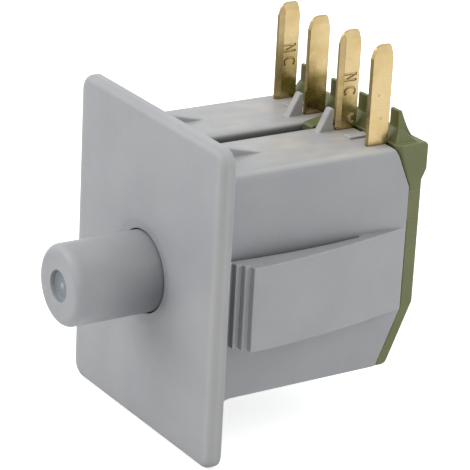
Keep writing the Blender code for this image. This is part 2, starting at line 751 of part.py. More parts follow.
def make_terminal(index, finish):
    """A stamped terminal: the outer blade, its shoulder, and a leg folded to carry a rivet."""
    centre = BLADE_CENTRES[index]
    inward = 1 if index % 2 == 0 else -1
    half = BLADE_THICKNESS / 2
    shoulder_top = INNER_TOP - SEAT_GAP
    shoulder_front = BLADE_FRONT - SHOULDER_STEP
    blade = [
        (BLADE_FRONT, shoulder_top, 0),
        (BLADE_FRONT, BLADE_TOP - BLADE_CUT_LENGTH, 0),
        (BLADE_FRONT + BLADE_FRONT_CUT, BLADE_TOP, BLADE_FRONT_ROUND),
        (BLADE_REAR - BLADE_REAR_CUT, BLADE_TOP, BLADE_REAR_ROUND),
        (BLADE_REAR, BLADE_TOP - BLADE_CUT_LENGTH, 0),
        (BLADE_REAR, LEG_BOTTOM, 0),
        (BLADE_FRONT, LEG_BOTTOM, 0),
        (BLADE_FRONT, shoulder_top - SHOULDER_HEIGHT, 0),
        (shoulder_front, shoulder_top - SHOULDER_HEIGHT, 0),
        (shoulder_front, shoulder_top, 0),
    ]
    terminal = prism(rounded(blade), "X", centre - half, centre + half)
    tip = BLADE_TOP - BLADE_TIP_LENGTH
    thin = BLADE_TIP_THICKNESS / 2
    wedge = [(-half, 0), (-half, tip), (-thin, BLADE_TOP), (thin, BLADE_TOP), (half, tip), (half, 0)]
    outline = [(centre + x, z) for x, z in wedge]
    combine(terminal, prism(outline, "Y", shoulder_front - OVERLAP, BLADE_REAR + OVERLAP), "INTERSECT")
    if index % 2 == 0:
        cut(terminal, edge_bevel(centre + half))
    add(terminal, folded_leg(centre, inward))
    cut(terminal, rivet_hole(index, LEG_FRONT, TAB_REAR))
    terminal.name = f"terminal_{index + 1}"
    return finish_object(terminal, finish)


def edge_bevel(face):
    """The cutter for the long bevel on a blade's front edge, half the blade's thickness deep."""
    depth = BLADE_THICKNESS / 2
    outline = [
        (face + depth, BLADE_FRONT - BLADE_LONG_BEVEL),
        (face + depth, BLADE_FRONT + 2 * BLADE_LONG_BEVEL),
        (face - 2 * depth, BLADE_FRONT - BLADE_LONG_BEVEL),
    ]
    return prism(outline, "Z", BODY_TOP + SEAT_GAP, BLADE_TOP + OVERLAP)


def rivet_hole(index, front, rear):
    """The cutter for the hole that one contact rivet's shank passes through."""
    centre = (centre_of_contact(index), 0, CONTACT_HEIGHT)
    return disc(RIVET_SHANK_RADIUS + RIVET_GAP, front - OVERLAP, rear + OVERLAP, centre, RIVET_SEGMENTS)


def folded_leg(centre, inward):
    """The lower leg seen from above: a strip that runs forward and folds towards the pole."""
    near = centre + inward * BLADE_THICKNESS / 2
    far = centre - inward * BLADE_THICKNESS / 2
    end = near + inward * TAB_REACH
    outline = rounded(
        [
            (far, BLADE_REAR, 0),
            (far, LEG_FRONT, BEND_RADIUS),
            (end, LEG_FRONT, 0),
            (end, TAB_REAR, 0),
            (near, TAB_REAR, BEND_RADIUS - BLADE_THICKNESS),
            (near, BLADE_REAR, 0),
        ]
    )
    return prism(outline, "Z", LEG_BOTTOM, LEG_TOP)


def centre_of_contact(index):
    """The x of the rivet on one terminal, and of the bridge's rivet that meets it."""
    side = -1 if index % 2 == 0 else 1
    return POLE_CENTRES[index // 2] + side * CONTACT_SPACING / 2


def make_rivet(name, x, face, seat, finish):
    """A contact rivet along Y: a domed head from the seat towards the face, and a shank behind."""
    toward = 1 if face > seat else -1
    shank = -toward * (BLADE_THICKNESS - RIVET_GAP)
    crown = toward * RIVET_CROWN_HEIGHT
    head = toward * RIVET_HEAD_HEIGHT
    outline = [
        (0, shank),
        (RIVET_SHANK_RADIUS, shank),
        (RIVET_SHANK_RADIUS, 0),
        (RIVET_HEAD_RADIUS, 0),
        (RIVET_HEAD_RADIUS, head - crown),
        (RIVET_CROWN_RADIUS, head - crown / 4),
        (0, head),
    ]
    rivet = turned(outline, RIVET_SEGMENTS, (x, seat, CONTACT_HEIGHT))
    rivet.name = name
    return finish_object(rivet, finish)


def make_bridge(index, finish):
    """The flat contact bridge of one pole, with holes for its two rivets."""
    centre = POLE_CENTRES[index]
    half, tall = BRIDGE_LENGTH / 2, BRIDGE_HEIGHT / 2
    low, high = CONTACT_HEIGHT - tall, CONTACT_HEIGHT + tall
    corners = [(centre - half, low), (centre + half, low), (centre + half, high), (centre - half, high)]
    outline = rounded([(x, z, BRIDGE_CORNER_RADIUS) for x, z in corners])
    bridge = prism(outline, "Y", BRIDGE_FRONT, BRIDGE_REAR)
    for terminal in (2 * index, 2 * index + 1):
        cut(bridge, rivet_hole(terminal, BRIDGE_FRONT, BRIDGE_REAR))
    bridge.name = f"contact_bridge_{index + 1}"
    return finish_object(bridge, finish)


def main():
    for old in list(bpy.data.objects):
        bpy.data.objects.remove(old)
    grey = material("grey_nylon", (0.36, 0.37, 0.40), 0.5)
    olive = material("olive_nylon", (0.14, 0.16, 0.075), 0.5)
    brass = material("brass", (0.72, 0.52, 0.22), 0.35, 1.0)
    copper = material("bridge_copper", (0.75, 0.38, 0.24), 0.35, 1.0)
    silver = material("contact_silver", (0.80, 0.79, 0.76), 0.3, 1.0)
    steel = material("spring_steel", (0.55, 0.55, 0.56), 0.3, 1.0)

    make_housing(grey)
    make_rear_cover(olive)
    make_plunger(grey)
    coil(
        "return_spring", SPRING_RADIUS, SPRING_WIRE, SPRING_TURNS,
        BORE_FLOOR + SEAT_GAP, COVER_FRONT - SEAT_GAP, PLUNGER_AXIS, steel,
    )
    for index in range(BLADE_COUNT):
        make_terminal(index, brass)
        x = centre_of_contact(index)
        make_rivet(f"fixed_contact_{index + 1}", x, BRIDGE_FRONT, FIXED_HEAD, silver)
        make_rivet(f"moving_contact_{index + 1}", x, FIXED_HEAD, MOVING_HEAD, silver)
    for index, centre in enumerate(POLE_CENTRES):
        make_bridge(index, copper)
        coil(
            f"contact_spring_{index + 1}", CONTACT_SPRING_RADIUS, CONTACT_SPRING_WIRE, CONTACT_SPRING_TURNS,
            BRIDGE_REAR + RIVET_GAP, WINDOW_REAR - RIVET_GAP, (centre, 0, CONTACT_HEIGHT), steel,
        )


main()
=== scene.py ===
"""Looks of the panel-mounted plunger switch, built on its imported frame, in metres.

+X is to the right seen from the front, +Y goes back into the panel and +Z is up.
"""

import math

import bmesh
import bpy
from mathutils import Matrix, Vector


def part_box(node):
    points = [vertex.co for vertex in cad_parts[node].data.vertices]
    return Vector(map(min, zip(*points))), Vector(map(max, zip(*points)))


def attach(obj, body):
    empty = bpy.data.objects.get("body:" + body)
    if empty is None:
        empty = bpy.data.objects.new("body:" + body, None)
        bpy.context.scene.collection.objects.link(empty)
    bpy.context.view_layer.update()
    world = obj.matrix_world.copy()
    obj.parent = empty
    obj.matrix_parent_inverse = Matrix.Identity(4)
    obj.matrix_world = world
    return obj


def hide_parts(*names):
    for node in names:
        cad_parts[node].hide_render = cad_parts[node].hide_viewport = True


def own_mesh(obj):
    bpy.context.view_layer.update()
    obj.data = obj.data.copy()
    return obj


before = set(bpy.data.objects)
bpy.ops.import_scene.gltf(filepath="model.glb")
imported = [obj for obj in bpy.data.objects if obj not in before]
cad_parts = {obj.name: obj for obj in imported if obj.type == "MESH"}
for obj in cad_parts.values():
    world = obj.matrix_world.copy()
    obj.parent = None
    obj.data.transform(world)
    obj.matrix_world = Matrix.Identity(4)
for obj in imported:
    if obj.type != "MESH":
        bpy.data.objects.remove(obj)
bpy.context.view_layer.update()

# Places read from the frame
HOUSING_LOW, HOUSING_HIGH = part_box("housing")
COVER_LOW, COVER_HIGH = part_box("rear_cover")
PLUNGER_LOW, PLUNGER_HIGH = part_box("plunger")
TERMINAL_BOXES = [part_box(f"terminal_{i}") for i in (1, 2, 3, 4)]
FIXED_BOXES = [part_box(f"fixed_contact_{i}") for i in (1, 2, 3, 4)]
MOVING_BOXES = [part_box(f"moving_contact_{i}") for i in (1, 2, 3, 4)]
BRIDGE_BOXES = [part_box(f"contact_bridge_{i}") for i in (1, 2)]

# Bezel plate
PLATE_THICKNESS = -HOUSING_LOW.y
PLATE_CORNER_RADIUS = 0.002
PLATE_EDGE_RADIUS = 0.0009
PLATE_REAR_RADIUS = 0.0002
PLATE_OVERHANG = 0.0042
CORNER_LIFT = 0.0004

# Housing body
HALF_BODY = HOUSING_HIGH.x - PLATE_OVERHANG
BODY_TOP = 0.01463
BODY_BOTTOM = -0.01258
BODY_DEPTH = HOUSING_HIGH.y
WALL = 0.001
TOP_EDGE_RADIUS = 0.0012
FAR_EDGE_RADIUS = 0.0004
BOTTOM_EDGE_RADIUS = 0.0003
LOWER_CHAMFER_LENGTH = 0.00311
LOWER_CHAMFER_HEIGHT = 0.00705
UPPER_CUT_LENGTH = 0.0022
UPPER_CUT_HEIGHT = 0.005
UPPER_CUT_ROUND = 0.0003
BODY_EDGE = 0.0003
FOOT_LENGTH = 0.0055
FOOT_DROP = 0.0015

# Groove between the two lobes of the top
GROOVE_WIDTH = 0.0025
GROOVE_DEPTH = 0.0032
GROOVE_FAR_RADIUS = 0.0009
GROOVE_NEAR_RADIUS = 0.0003

# Snap latches
LATCH_HEIGHT = 0.01015
LATCH_DROP = 0.0004
LATCH_REACH = 0.0034
LATCH_BOW = 1.65
LATCH_SLOT = 0.00075
LATCH_SLOT_END_GAP = 0.0002
LATCH_ROOT = 0.0068
LATCH_TIP = 0.0017
LATCH_FLARE = 0.009
LATCH_EDGE = 0.00016
STEP_COUNT = 3
STEP_DEPTH = 0.00087
STEP_LENGTH = 0.00065

# Ribs, gussets and pads
RIB_WIDTH = 0.0012
RIB_LENGTH = 0.0102
RIB_HEIGHT = 0.00245
RIB_SHIFT = -0.00075
RIB_DRAFT = 0.12
RIB_EDGE = 0.0003
GUSSET_WIDTH = 0.0011
GUSSET_LENGTH = 0.002
GUSSET_HEIGHT = 0.0027
GUSSET_LAND = 0.0005
GUSSET_ROUND = 0.0002
GUSSET_GAP = 0.0004
GUSSET_EDGE = 0.00025
PAD_WIDTH = 0.0013
PAD_LENGTH = 0.0028
PAD_HEIGHT = 0.0003
PAD_LEAD = 0.0005
PAD_EDGE = 0.00014

# Blade terminals
BLADE_WIDTH = 0.0028
BLADE_THICKNESS = 0.0006
BLADE_TIP_LENGTH = 0.001
BLADE_TIP_THICKNESS = 0.00025
BLADE_CUT_LENGTH = 0.0016
BLADE_FRONT_CUT = 0.0005
BLADE_FRONT_ROUND = 0.001
BLADE_REAR_CUT = 0.00035
BLADE_REAR_ROUND = 0.0004
BLADE_LONG_BEVEL = 0.00065
BLADE_EDGE = 0.00005
SHOULDER_STEP = 0.0008
SHOULDER_HEIGHT = 0.0028
LEG_HEIGHT = 0.0038
BEND_RADIUS = 0.0008

# Stamped contact marks, read downwards, with half the opening of the C in degrees
LETTER_N_LENGTH = 0.00098
LETTER_N_SLANT = 1.6
LETTER_C_LENGTH = 0.00132
LETTER_C_OPENING = 48
LETTER_HEIGHT = 0.0017
LETTER_STROKE = 0.00024
LETTER_GAP = 0.00062
LETTER_DEPTH = 0.00011
MARK_START = 0.02142
MARK_FOOT = 0.02262

# Curl of metal left on the third blade, placed along Y and Z, with its angles in degrees and the reach of its
# painted glint
BURR_BLADE = 2
BURR_START = 80
BURR_TURN = 200
BURR_PLACE = (0.02405, 0.0159)
BURR_RADIUS = 0.0006
BURR_WIDTH = 0.0003
BURR_HEIGHT = 0.0002
BURR_GLINT_RADIUS = 0.001

# Contact rivets and bridges
RIVET_SHANK_RADIUS = 0.00045
RIVET_HEAD_HEIGHT = 0.00055
RIVET_CROWN_HEIGHT = 0.0002
RIVET_EDGE = 0.0001
RIVET_GAP = 0.00006
BRIDGE_CORNER_RADIUS = 0.0005
BRIDGE_EDGE = 0.00006

# Plunger
PLUNGER_AXIS = (-0.00045, 0, -0.0002)
PLUNGER_RADIUS = 0.00482
PLUNGER_TIP_ROUND = 0.001
DIMPLE_RADIUS = 0.002
DIMPLE_DEPTH = 0.0006
DIMPLE_SLOPE = 0.0003
DIMPLE_ROUND = 0.0001
GATE_RADIUS = 0.00042
GATE_HEIGHT = 0.00012
FLANGE_STEP = 0.0013
FLANGE_THICKNESS = 0.0018
BARREL_WALL = 0.0012
BORE_FLOOR = 0.003
CARRIER_HEIGHT = 0.0052
POST_WIDTH = 0.001
POST_BAR = 0.0008

# Recess round the plunger's hole
HOLE_CLEARANCE = 0.00013
HOLE_ROUND = 0.0001
RECESS_STEP = 0.00114
RECESS_DEPTH = 0.0001

# Spring inside the plunger, and the cover's spigot
SPRING_RADIUS = 0.00225
SPRING_WIRE = 0.0004
SPRING_TURNS = 12
CONTACT_SPRING_WIRE = 0.00025
CONTACT_SPRING_TURNS = 4.5
CLOSED_TURN_PITCH = 1.1
SPRING_CLEARANCE = 0.00035
SPIGOT_LENGTH = 0.003

# Inner walls of the housing
GUIDE_THICKNESS = 0.0008
GUIDE_WIDTH = 0.0009
GUIDE_LEAD = 0.005
BACKING_THICKNESS = 0.001
BACKING_CLEARANCE = 0.0006

# Rear cover
COVER_THICKNESS = 0.00157
COVER_CHAMFER_THICKNESS = 0.0012
COVER_CORNER_RADIUS = 0.0009
COVER_EDGE = 0.0002
COVER_GAP = 0.00007
BLOCK_RISE = 0.00022
BLOCK_STEP = 0.00062
BLOCK_RADIUS = 0.0006
BLOCK_LEDGE = 0.00055
BLOCK_GAP = 0.00015
BLOCK_CORNER = 0.00055
BLOCK_CORNER_LEAN = 0.3
RIDGE_INSET = 0.00045
RIDGE_FOOT = 0.00015
RIDGE_SETBACK = 0.0009
RIDGE_LAND = 0.0006
RIDGE_HEIGHT = 0.0016
RIDGE_HOLLOW = 1.7
RIDGE_DRAFT = 0.45
RIDGE_EDGE = 0.0003
FIN_WIDTH = 0.0017
FIN_LAND = 0.00045
FIN_INSET = 0.0003
FIN_EDGE = 0.00022
SIDE_RECESS_LOW = 0.0054
SIDE_RECESS_HIGH = 0.009
SIDE_RECESS_DEPTH = 0.00008
TONGUE_LENGTH = 0.00685
TONGUE_THICKNESS = 0.0029
TONGUE_LEAD = 0.00008
TONGUE_RISE = 0.0012
TONGUE_ROUND = 0.0003
LIP_THICKNESS = 0.0008
LIP_DEPTH = 0.0012

# Width of a tint's soft border, nicks in the plate's face, and where the painted shade and gleams of the top
# and tongue begin and fade along Y
TINT_BORDER = 0.0004
NICKS = [(0.0101, -0.00317, -0.0117), (0.0135, -0.0030, 0.0066)]
NICK_RADIUS = 0.00022
GUSSET_TINT_START = 0.016
GUSSET_TINT_FULL = 0.017
GLEAM_START = 0.004
GLEAM_FULL = 0.015
GLEAM_STRETCH = (420, 200, 420)
TONGUE_TINT_FADE = 0.001

# Plunger's low shade, begun behind the tip and full before the plate
PLUNGER_SHADE_START = 0.003
PLUNGER_SHADE_END = 0.001

# Each blade's darker lower part, partly tarnished metal and partly painted reflection, with its upper end,
# how far that end wavers, and the last blade's spots
LOWER_DARKENING = [(0.5, 0.0222), (0.75, 0.0212), (0.45, 0.0192), (0.1, 0.0165)]
LOWER_DARKENING_WAVE = 0.0035
LOWER_DARKENING_FADE = 0.003
LOWER_DARKENING_FOOT = (0.0005, 0.0025)
BLADE_SPOTS = [
    ((0.00947, 0.0230, 0.0206), 0.00022),
    ((0.00947, 0.0235, 0.0178), 0.00025),
    ((0.00947, 0.0243, 0.0154), 0.0006),
]
ROLLED_STRETCH = (9000, 9000, 900)

# Nylon: features in a metre of its clouds, grain, gloss, patches on its pale edges, pores and waves, then its
# sizes, among them the reach of its pale edges (partly wear, partly painted highlight) and of its painted
# shade in hollows
CLOUDS = 140
GRAIN = 2600
GLOSS = 420
EDGE_PATCHES = 500
PORES = 5200
PORE_DEPTH = 0.000016
WAVES = 320
WAVE_DEPTH = 0.00003
SOFT_EDGE = 0.00012
WORN_AND_HIGHLIT_EDGE = 0.00018
NYLON_SHADE_REACH = 0.0035

# Brass: features in a metre of its stains, the waver of its darker lower part, gloss and waves, then its
# sizes, among them the reach of its painted shade in hollows
BRASS_STAINS = 380
BRASS_CLOUDS = 420
BRASS_GLOSS = 900
BRASS_WAVES = 650
ROLLED_DEPTH = 0.000006
BRASS_SOFT_EDGE = 0.00004
BRASS_DARK_EDGE = 0.00012
BRASS_SHADE_REACH = 0.0003

# Other metals: features in a metre of their tone, polish and scratches
METAL_TONE = 900
METAL_POLISH = 2400
METAL_SCRATCHES = 3600
METAL_SCRATCH_DEPTH = 0.000008

# Directions that a face with painted shade or light looks in
FORWARD = (0.0, -1.0, 0.0)
TURN_SIDE = (0.55, 0.0, 0.83)
PLUNGER_LOW_SIDE = (0.75, 0.0, -0.66)
DIMPLE_UPPER_WALL = (0.7, 0.0, -0.7)

# Colours of the nylon: plain, darker (its own clouds, and dimmed its painted shade in hollows) and pale (its
# grain, and its edges that are partly wear and partly painted highlight), then its tints, most of them
# painted shade or light
GREYS = (0.375, 0.380, 0.395), (0.345, 0.352, 0.368), (0.46, 0.465, 0.47)
OLIVES = (0.160, 0.178, 0.074), (0.128, 0.144, 0.050), (0.25, 0.27, 0.14)
GROOVE_SHADE = (0.085, 0.095, 0.075)
PLATE_RIM_LIGHT = (0.45, 0.445, 0.43)
GUSSET_SHADE = (0.27, 0.275, 0.30)
TURN_GLEAM = (0.50, 0.50, 0.49)
TOP_GLEAM = (0.56, 0.51, 0.42)
RECESS_SHADE = (0.25, 0.28, 0.31)
NICK_TINT = (0.62, 0.62, 0.60)
PLUNGER_SHADE = (0.13, 0.14, 0.15)
DIMPLE_FLOOR_SHADE = (0.235, 0.26, 0.285)
DIMPLE_SHADE = (0.10, 0.11, 0.125)
GATE_TINT = (0.42, 0.45, 0.48)
OLIVE_CLOUD = (0.185, 0.185, 0.05)
FIN_SHADE = (0.115, 0.105, 0.014)
TONGUE_SHADE = (0.10, 0.122, 0.052)

# Colours of the brass, then the bright colour, dark colour and roughness of the other metals
BRASS_LIGHT = (0.69, 0.53, 0.275)
BRASS_STAIN = (0.60, 0.44, 0.19)
BRASS_GRAIN = (0.78, 0.64, 0.38)
BRASS_TARNISH_AND_REFLECTION = (0.19, 0.14, 0.02)
BRASS_FRONT_SHADE = (0.26, 0.19, 0.07)
BRASS_EDGE = (0.16, 0.105, 0.035)
BRASS_HOLLOW_SHADE = (0.2, 0.13, 0.035)
SPOT_SHADE = (0.22, 0.16, 0.06)
BURR_GLINT = (0.95, 0.92, 0.85)
COPPER = (0.78, 0.42, 0.27), (0.62, 0.30, 0.18), 0.32
SILVER = (0.82, 0.81, 0.78), (0.66, 0.64, 0.60), 0.26
STEEL = (0.60, 0.60, 0.61), (0.42, 0.42, 0.43), 0.28

# Camera, with its turns about X, Y and Z in degrees
CAMERA_LENS = 187.17
CAMERA_PLACE = (0.2220185, -0.1371318, 0.1045294)
CAMERA_ANGLES = (69.004509, -2.824415, 57.435768)

# Sky and floor: how brightly each lights the switch, and where the floor's reflection brightens
SKY_DIMMEST = 0.12
SKY_BRIGHTEST = 1.1
SKY_BRIGHT_SIDE = (-0.1, 0.75, 0.55)
SKY_SPREAD = 0.9
SKY_COLOUR = (0.97, 0.985, 1.0, 1)
FLOOR_RADIUS = 3.0
FLOOR_COLOUR = (0.86, 0.86, 0.86, 1)
FLOOR_GLOW = 0.68
MIRROR_FRONT = -0.06
MIRROR_REAR = 0.03
MIRROR_FRONT_GLOW = 0.6
MIRROR_REAR_GLOW = 1.15

# Lamps: name, place, size, power and colour
LAMPS = [
    ("key", (-0.28, -0.46, 0.36), 0.65, 2.4, (1, 1, 1)),
    ("ceiling", (0.05, 0.10, 0.60), 0.40, 0.5, (1.0, 0.93, 0.80)),
]

# Clearances, and how far joined shapes run into each other
SEAT_GAP = 0.00025
SLOT_GAP = 0.00006
GUIDE_CLEARANCE = 0.0003
OVERLAP = 0.0004
LEG_SINK = 0.000005

# Fineness of the meshes
ARC_STEPS = 10
CORNER_STEPS = 14
ROUND_SEGMENTS = 144
SMALL_SEGMENTS = 48
COIL_STEPS = 28
BLADE_SMOOTH_ANGLE = math.radians(9.5)
FLAT_ANGLE = math.radians(0.4)
SHARP_ANGLE = math.radians(32)
WELD_DISTANCE = 0.0000005

# Worked out: body and plate
INNER_HALF = HALF_BODY - WALL
INNER_TOP = BODY_TOP - WALL
GROOVE_FLOOR = BODY_TOP - GROOVE_DEPTH
LATCH_SHOULDER = LATCH_TIP + STEP_COUNT * STEP_LENGTH
LATCH_SLOT_END = BODY_DEPTH - LATCH_ROOT
HOLE_RADIUS = PLUNGER_RADIUS + HOLE_CLEARANCE

# Worked out: blades and poles
BLADE_REAR = TERMINAL_BOXES[0][1].y
BLADE_FRONT = BLADE_REAR - BLADE_WIDTH
BLADE_TOP = TERMINAL_BOXES[0][1].z
LEG_BOTTOM = TERMINAL_BOXES[0][0].z
LEG_TOP = LEG_BOTTOM + LEG_HEIGHT
LEG_FRONT = TERMINAL_BOXES[0][0].y
TAB_REAR = LEG_FRONT + BLADE_THICKNESS
BLADE_CENTRES = [
    low.x + BLADE_THICKNESS / 2 if i % 2 == 0 else high.x - BLADE_THICKNESS / 2
    for i, (low, high) in enumerate(TERMINAL_BOXES)
]
BLADE_PITCH = BLADE_CENTRES[1] - BLADE_CENTRES[0]
POLE_CENTRES = [(low.x + high.x) / 2 for low, high in BRIDGE_BOXES]

# Worked out: plunger and cover
BORE_RADIUS = SPRING_RADIUS + SPRING_WIRE / 2 + SPRING_CLEARANCE
SPIGOT_RADIUS = SPRING_RADIUS - SPRING_WIRE / 2 - SPRING_CLEARANCE
BARREL_RADIUS = BORE_RADIUS + BARREL_WALL
CARRIER_FRONT = TAB_REAR + GUIDE_CLEARANCE
CARRIER_REAR = PLUNGER_HIGH.y
WINDOW_REAR = CARRIER_REAR - POST_BAR
COVER_FRONT = BODY_DEPTH + COVER_GAP
COVER_REAR = BODY_DEPTH + SEAT_GAP + COVER_THICKNESS
BLOCK_FRONT = BLADE_REAR + COVER_GAP
BLOCK_REAR = COVER_HIGH.y
BLOCK_TOP = BODY_TOP + BLOCK_RISE
BLOCK_BOTTOM = BODY_TOP - UPPER_CUT_HEIGHT + BLOCK_STEP
RIDGE_FRONT = BLADE_REAR + RIDGE_SETBACK
RIDGE_TOP = BLOCK_TOP + RIDGE_HEIGHT
FIN_TOP = COVER_HIGH.z


def place_object(name, data):
    """Makes an object of some data and links it into the scene."""
    made = bpy.data.objects.new(name, data)
    bpy.context.scene.collection.objects.link(made)
    return made


def link(name, mesh):
    """Links a bmesh into the scene as an object and frees the bmesh."""
    bmesh.ops.recalc_face_normals(mesh, faces=mesh.faces)
    data = bpy.data.meshes.new(name)
    mesh.to_mesh(data)
    mesh.free()
    return place_object(name, data)


def apply_modifiers(piece):
    graph = bpy.context.evaluated_depsgraph_get()
    result = bpy.data.meshes.new_from_object(piece.evaluated_get(graph))
    piece.modifiers.clear()
    piece.data = result


def combine(body, tool, operation):
    """Applies an exact Boolean of the tool to the body and removes the tool."""
    step = body.modifiers.new("combine", "BOOLEAN")
    step.object = tool
    step.operation = operation
    step.solver = "EXACT"
    apply_modifiers(body)
    bpy.data.objects.remove(tool)


def add(body, tool):
    combine(body, tool, "UNION")


def cut(body, tool):
    combine(body, tool, "DIFFERENCE")


def soften(piece, width, segments=3):
    """Rounds every sharp edge of a piece, before it is joined to its neighbours."""
    step = piece.modifiers.new("soften", "BEVEL")
    step.width = width
    step.segments = segments
    step.limit_method = "ANGLE"
    step.angle_limit = SHARP_ANGLE
    apply_modifiers(piece)
    return piece


def unit(a, b):
    length = math.hypot(a, b)
    return a / length, b / length


def shares(steps):
    """Evenly spaced numbers from 0 to 1."""
    return [i / steps for i in range(steps + 1)]


def quarter_turn(steps=ARC_STEPS):
    """The cosines and sines of evenly spaced angles from 0 to 90 degrees."""
    return [(math.cos(math.pi / 2 * share), math.sin(math.pi / 2 * share)) for share in shares(steps)]


def rounded(corners, steps=ARC_STEPS):
    """Returns the outline of (a, b, radius) corners with each corner turned into an arc."""
    outline = []
    for i, (a, b, radius) in enumerate(corners):
        before = corners[i - 1]
        after = corners[(i + 1) % len(corners)]
        if radius == 0:
            outline.append((a, b))
            continue
        to_before = unit(before[0] - a, before[1] - b)
        to_after = unit(after[0] - a, after[1] - b)
        half = math.acos(to_before[0] * to_after[0] + to_before[1] * to_after[1]) / 2
        middle = unit(to_before[0] + to_after[0], to_before[1] + to_after[1])
        centre = [(a, b)[k] + middle[k] * radius / math.sin(half) for k in (0, 1)]
        reach = radius / math.tan(half)
        start = math.atan2(b + to_before[1] * reach - centre[1], a + to_before[0] * reach - centre[0])
        end = math.atan2(b + to_after[1] * reach - centre[1], a + to_after[0] * reach - centre[0])
        turn = math.remainder(end - start, math.tau)
        for share in shares(steps):
            angle = start + turn * share
            outline.append((centre[0] + radius * math.cos(angle), centre[1] + radius * math.sin(angle)))
    return outline


def prism(outline, axis, low, high):
    """Returns an outline extruded along an axis: (y, z) along X, (x, z) along Y, (x, y) along Z."""
    place = {
        "X": lambda a, b, along: (along, a, b),
        "Y": lambda a, b, along: (a, along, b),
        "Z": lambda a, b, along: (a, b, along),
    }[axis]
    mesh = bmesh.new()
    near = [mesh.verts.new(place(a, b, low)) for a, b in outline]
    far = [mesh.verts.new(place(a, b, high)) for a, b in outline]
    mesh.faces.new(near)
    mesh.faces.new(reversed(far))
    for i in range(len(outline)):
        mesh.faces.new((near[i - 1], near[i], far[i], far[i - 1]))
    return link("prism", mesh)


def block(low, high):
    outline = [(low[0], low[1]), (high[0], low[1]), (high[0], high[1]), (low[0], high[1])]
    return prism(outline, "Z", low[2], high[2])


def turned(outline, segments=ROUND_SEGMENTS, centre=(0, 0, 0)):
    """Returns a closed (radius, y) outline turned about an axis along Y."""
    mesh = bmesh.new()
    rings = []
    for radius, along in outline:
        ring = []
        for i in range(segments if radius > 0 else 1):
            angle = math.tau * i / segments
            x, z = radius * math.cos(angle), radius * math.sin(angle)
            ring.append(mesh.verts.new((centre[0] + x, centre[1] + along, centre[2] + z)))
        rings.append(ring)
    for ring, following in zip(rings, rings[1:] + rings[:1]):
        for i in range(segments):
            j = (i + 1) % segments
            corners = [ring[i % len(ring)], ring[j % len(ring)]]
            corners += [following[j % len(following)], following[i % len(following)]]
            corners = list(dict.fromkeys(corners))
            if len(corners) > 2:
                mesh.faces.new(corners)
    return link("turned", mesh)


def middle(box, along=0):
    """The middle of a box in X and Z, at a place along Y."""
    low, high = box
    return (low.x + high.x) / 2, along, (low.z + high.z) / 2


def disc(radius, low, high, centre=(0, 0, 0), segments=ROUND_SEGMENTS):
    return turned([(0, low), (radius, low), (radius, high), (0, high)], segments, centre)


def merge_flat_faces(piece):
    """Closes tiny triangular gaps, and joins faces in one plane so that they keep one normal."""
    mesh = bmesh.new()
    mesh.from_mesh(piece.data)
    bmesh.ops.remove_doubles(mesh, verts=mesh.verts, dist=WELD_DISTANCE)
    bmesh.ops.holes_fill(mesh, edges=[edge for edge in mesh.edges if edge.is_boundary], sides=3)
    bmesh.ops.dissolve_limit(mesh, angle_limit=FLAT_ANGLE, verts=mesh.verts, edges=mesh.edges)
    mesh.to_mesh(piece.data)
    mesh.free()


def finish_piece(piece, name, node, body, material, angle=SHARP_ANGLE):
    """Names a piece, shades it, gives it its material and lets it stand for its CAD node."""
    merge_flat_faces(piece)
    piece.name = name
    piece.data.name = name
    piece.data.materials.clear()
    piece.data.materials.append(material)
    piece.data.shade_smooth()
    piece.data.set_sharp_from_angle(angle=angle)
    flat = piece.modifiers.new("flat faces", "WEIGHTED_NORMAL")
    flat.keep_sharp = True
    flat.weight = 80
    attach(piece, body)
    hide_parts(node)
    return piece


def corner_lift(x, z):
    """How far the slight warp of the plate lifts a point near its far upper corner."""
    across = max(-x / HOUSING_HIGH.x, 0)
    up = max(z / HOUSING_HIGH.z, 0)
    return CORNER_LIFT * across * up


def bezel_plate():
    """The square plate, with a wide rounding on its front edges and a small one behind."""
    half_width, half_height = HOUSING_HIGH.x, HOUSING_HIGH.z
    rear, front = PLATE_REAR_RADIUS, PLATE_EDGE_RADIUS
    layers = [(rear * (1 - cosine), rear * (1 - sine)) for cosine, sine in quarter_turn(ARC_STEPS // 2)]
    for cosine, sine in quarter_turn():
        layers.append((PLATE_THICKNESS - front * (1 - sine), front * (1 - cosine)))
    mesh = bmesh.new()
    loops = []
    for depth, inset in layers:
        radius = PLATE_CORNER_RADIUS - inset
        a, b = half_width - inset, half_height - inset
        corners = [(-a, -b, radius), (a, -b, radius), (a, b, radius), (-a, b, radius)]
        outline = rounded(corners, CORNER_STEPS)
        loops.append([mesh.verts.new((x, -depth, z + corner_lift(x, z))) for x, z in outline])
    for loop, following in zip(loops, loops[1:]):
        for i in range(len(loop)):
            mesh.faces.new((loop[i - 1], loop[i], following[i], following[i - 1]))
    mesh.faces.new(loops[0])
    mesh.faces.new(reversed(loops[-1]))
    return link("plate", mesh)


def body_section(inset):
    """The body's outline seen from the front, with the groove in its top, moved in by inset."""
    side = HALF_BODY - inset
    top, bottom = BODY_TOP - inset, BODY_BOTTOM + inset
    groove = GROOVE_WIDTH / 2 + inset
    floor = GROOVE_FLOOR - inset
    near = max(TOP_EDGE_RADIUS - inset, 0)
    far = max(FAR_EDGE_RADIUS - inset, 0)
    near_rim = max(GROOVE_NEAR_RADIUS - inset, 0)
    far_rim = max(GROOVE_FAR_RADIUS - inset, 0)
    lower = max(BOTTOM_EDGE_RADIUS - inset, 0)
    return rounded(
        [
            (groove, floor, 0),
            (groove, top, near_rim),
            (side, top, near),
            (side, bottom, lower),
            (-side, bottom, lower),
            (-side, top, far),
            (-groove, top, far_rim),
            (-groove, floor, 0),
        ]
    )


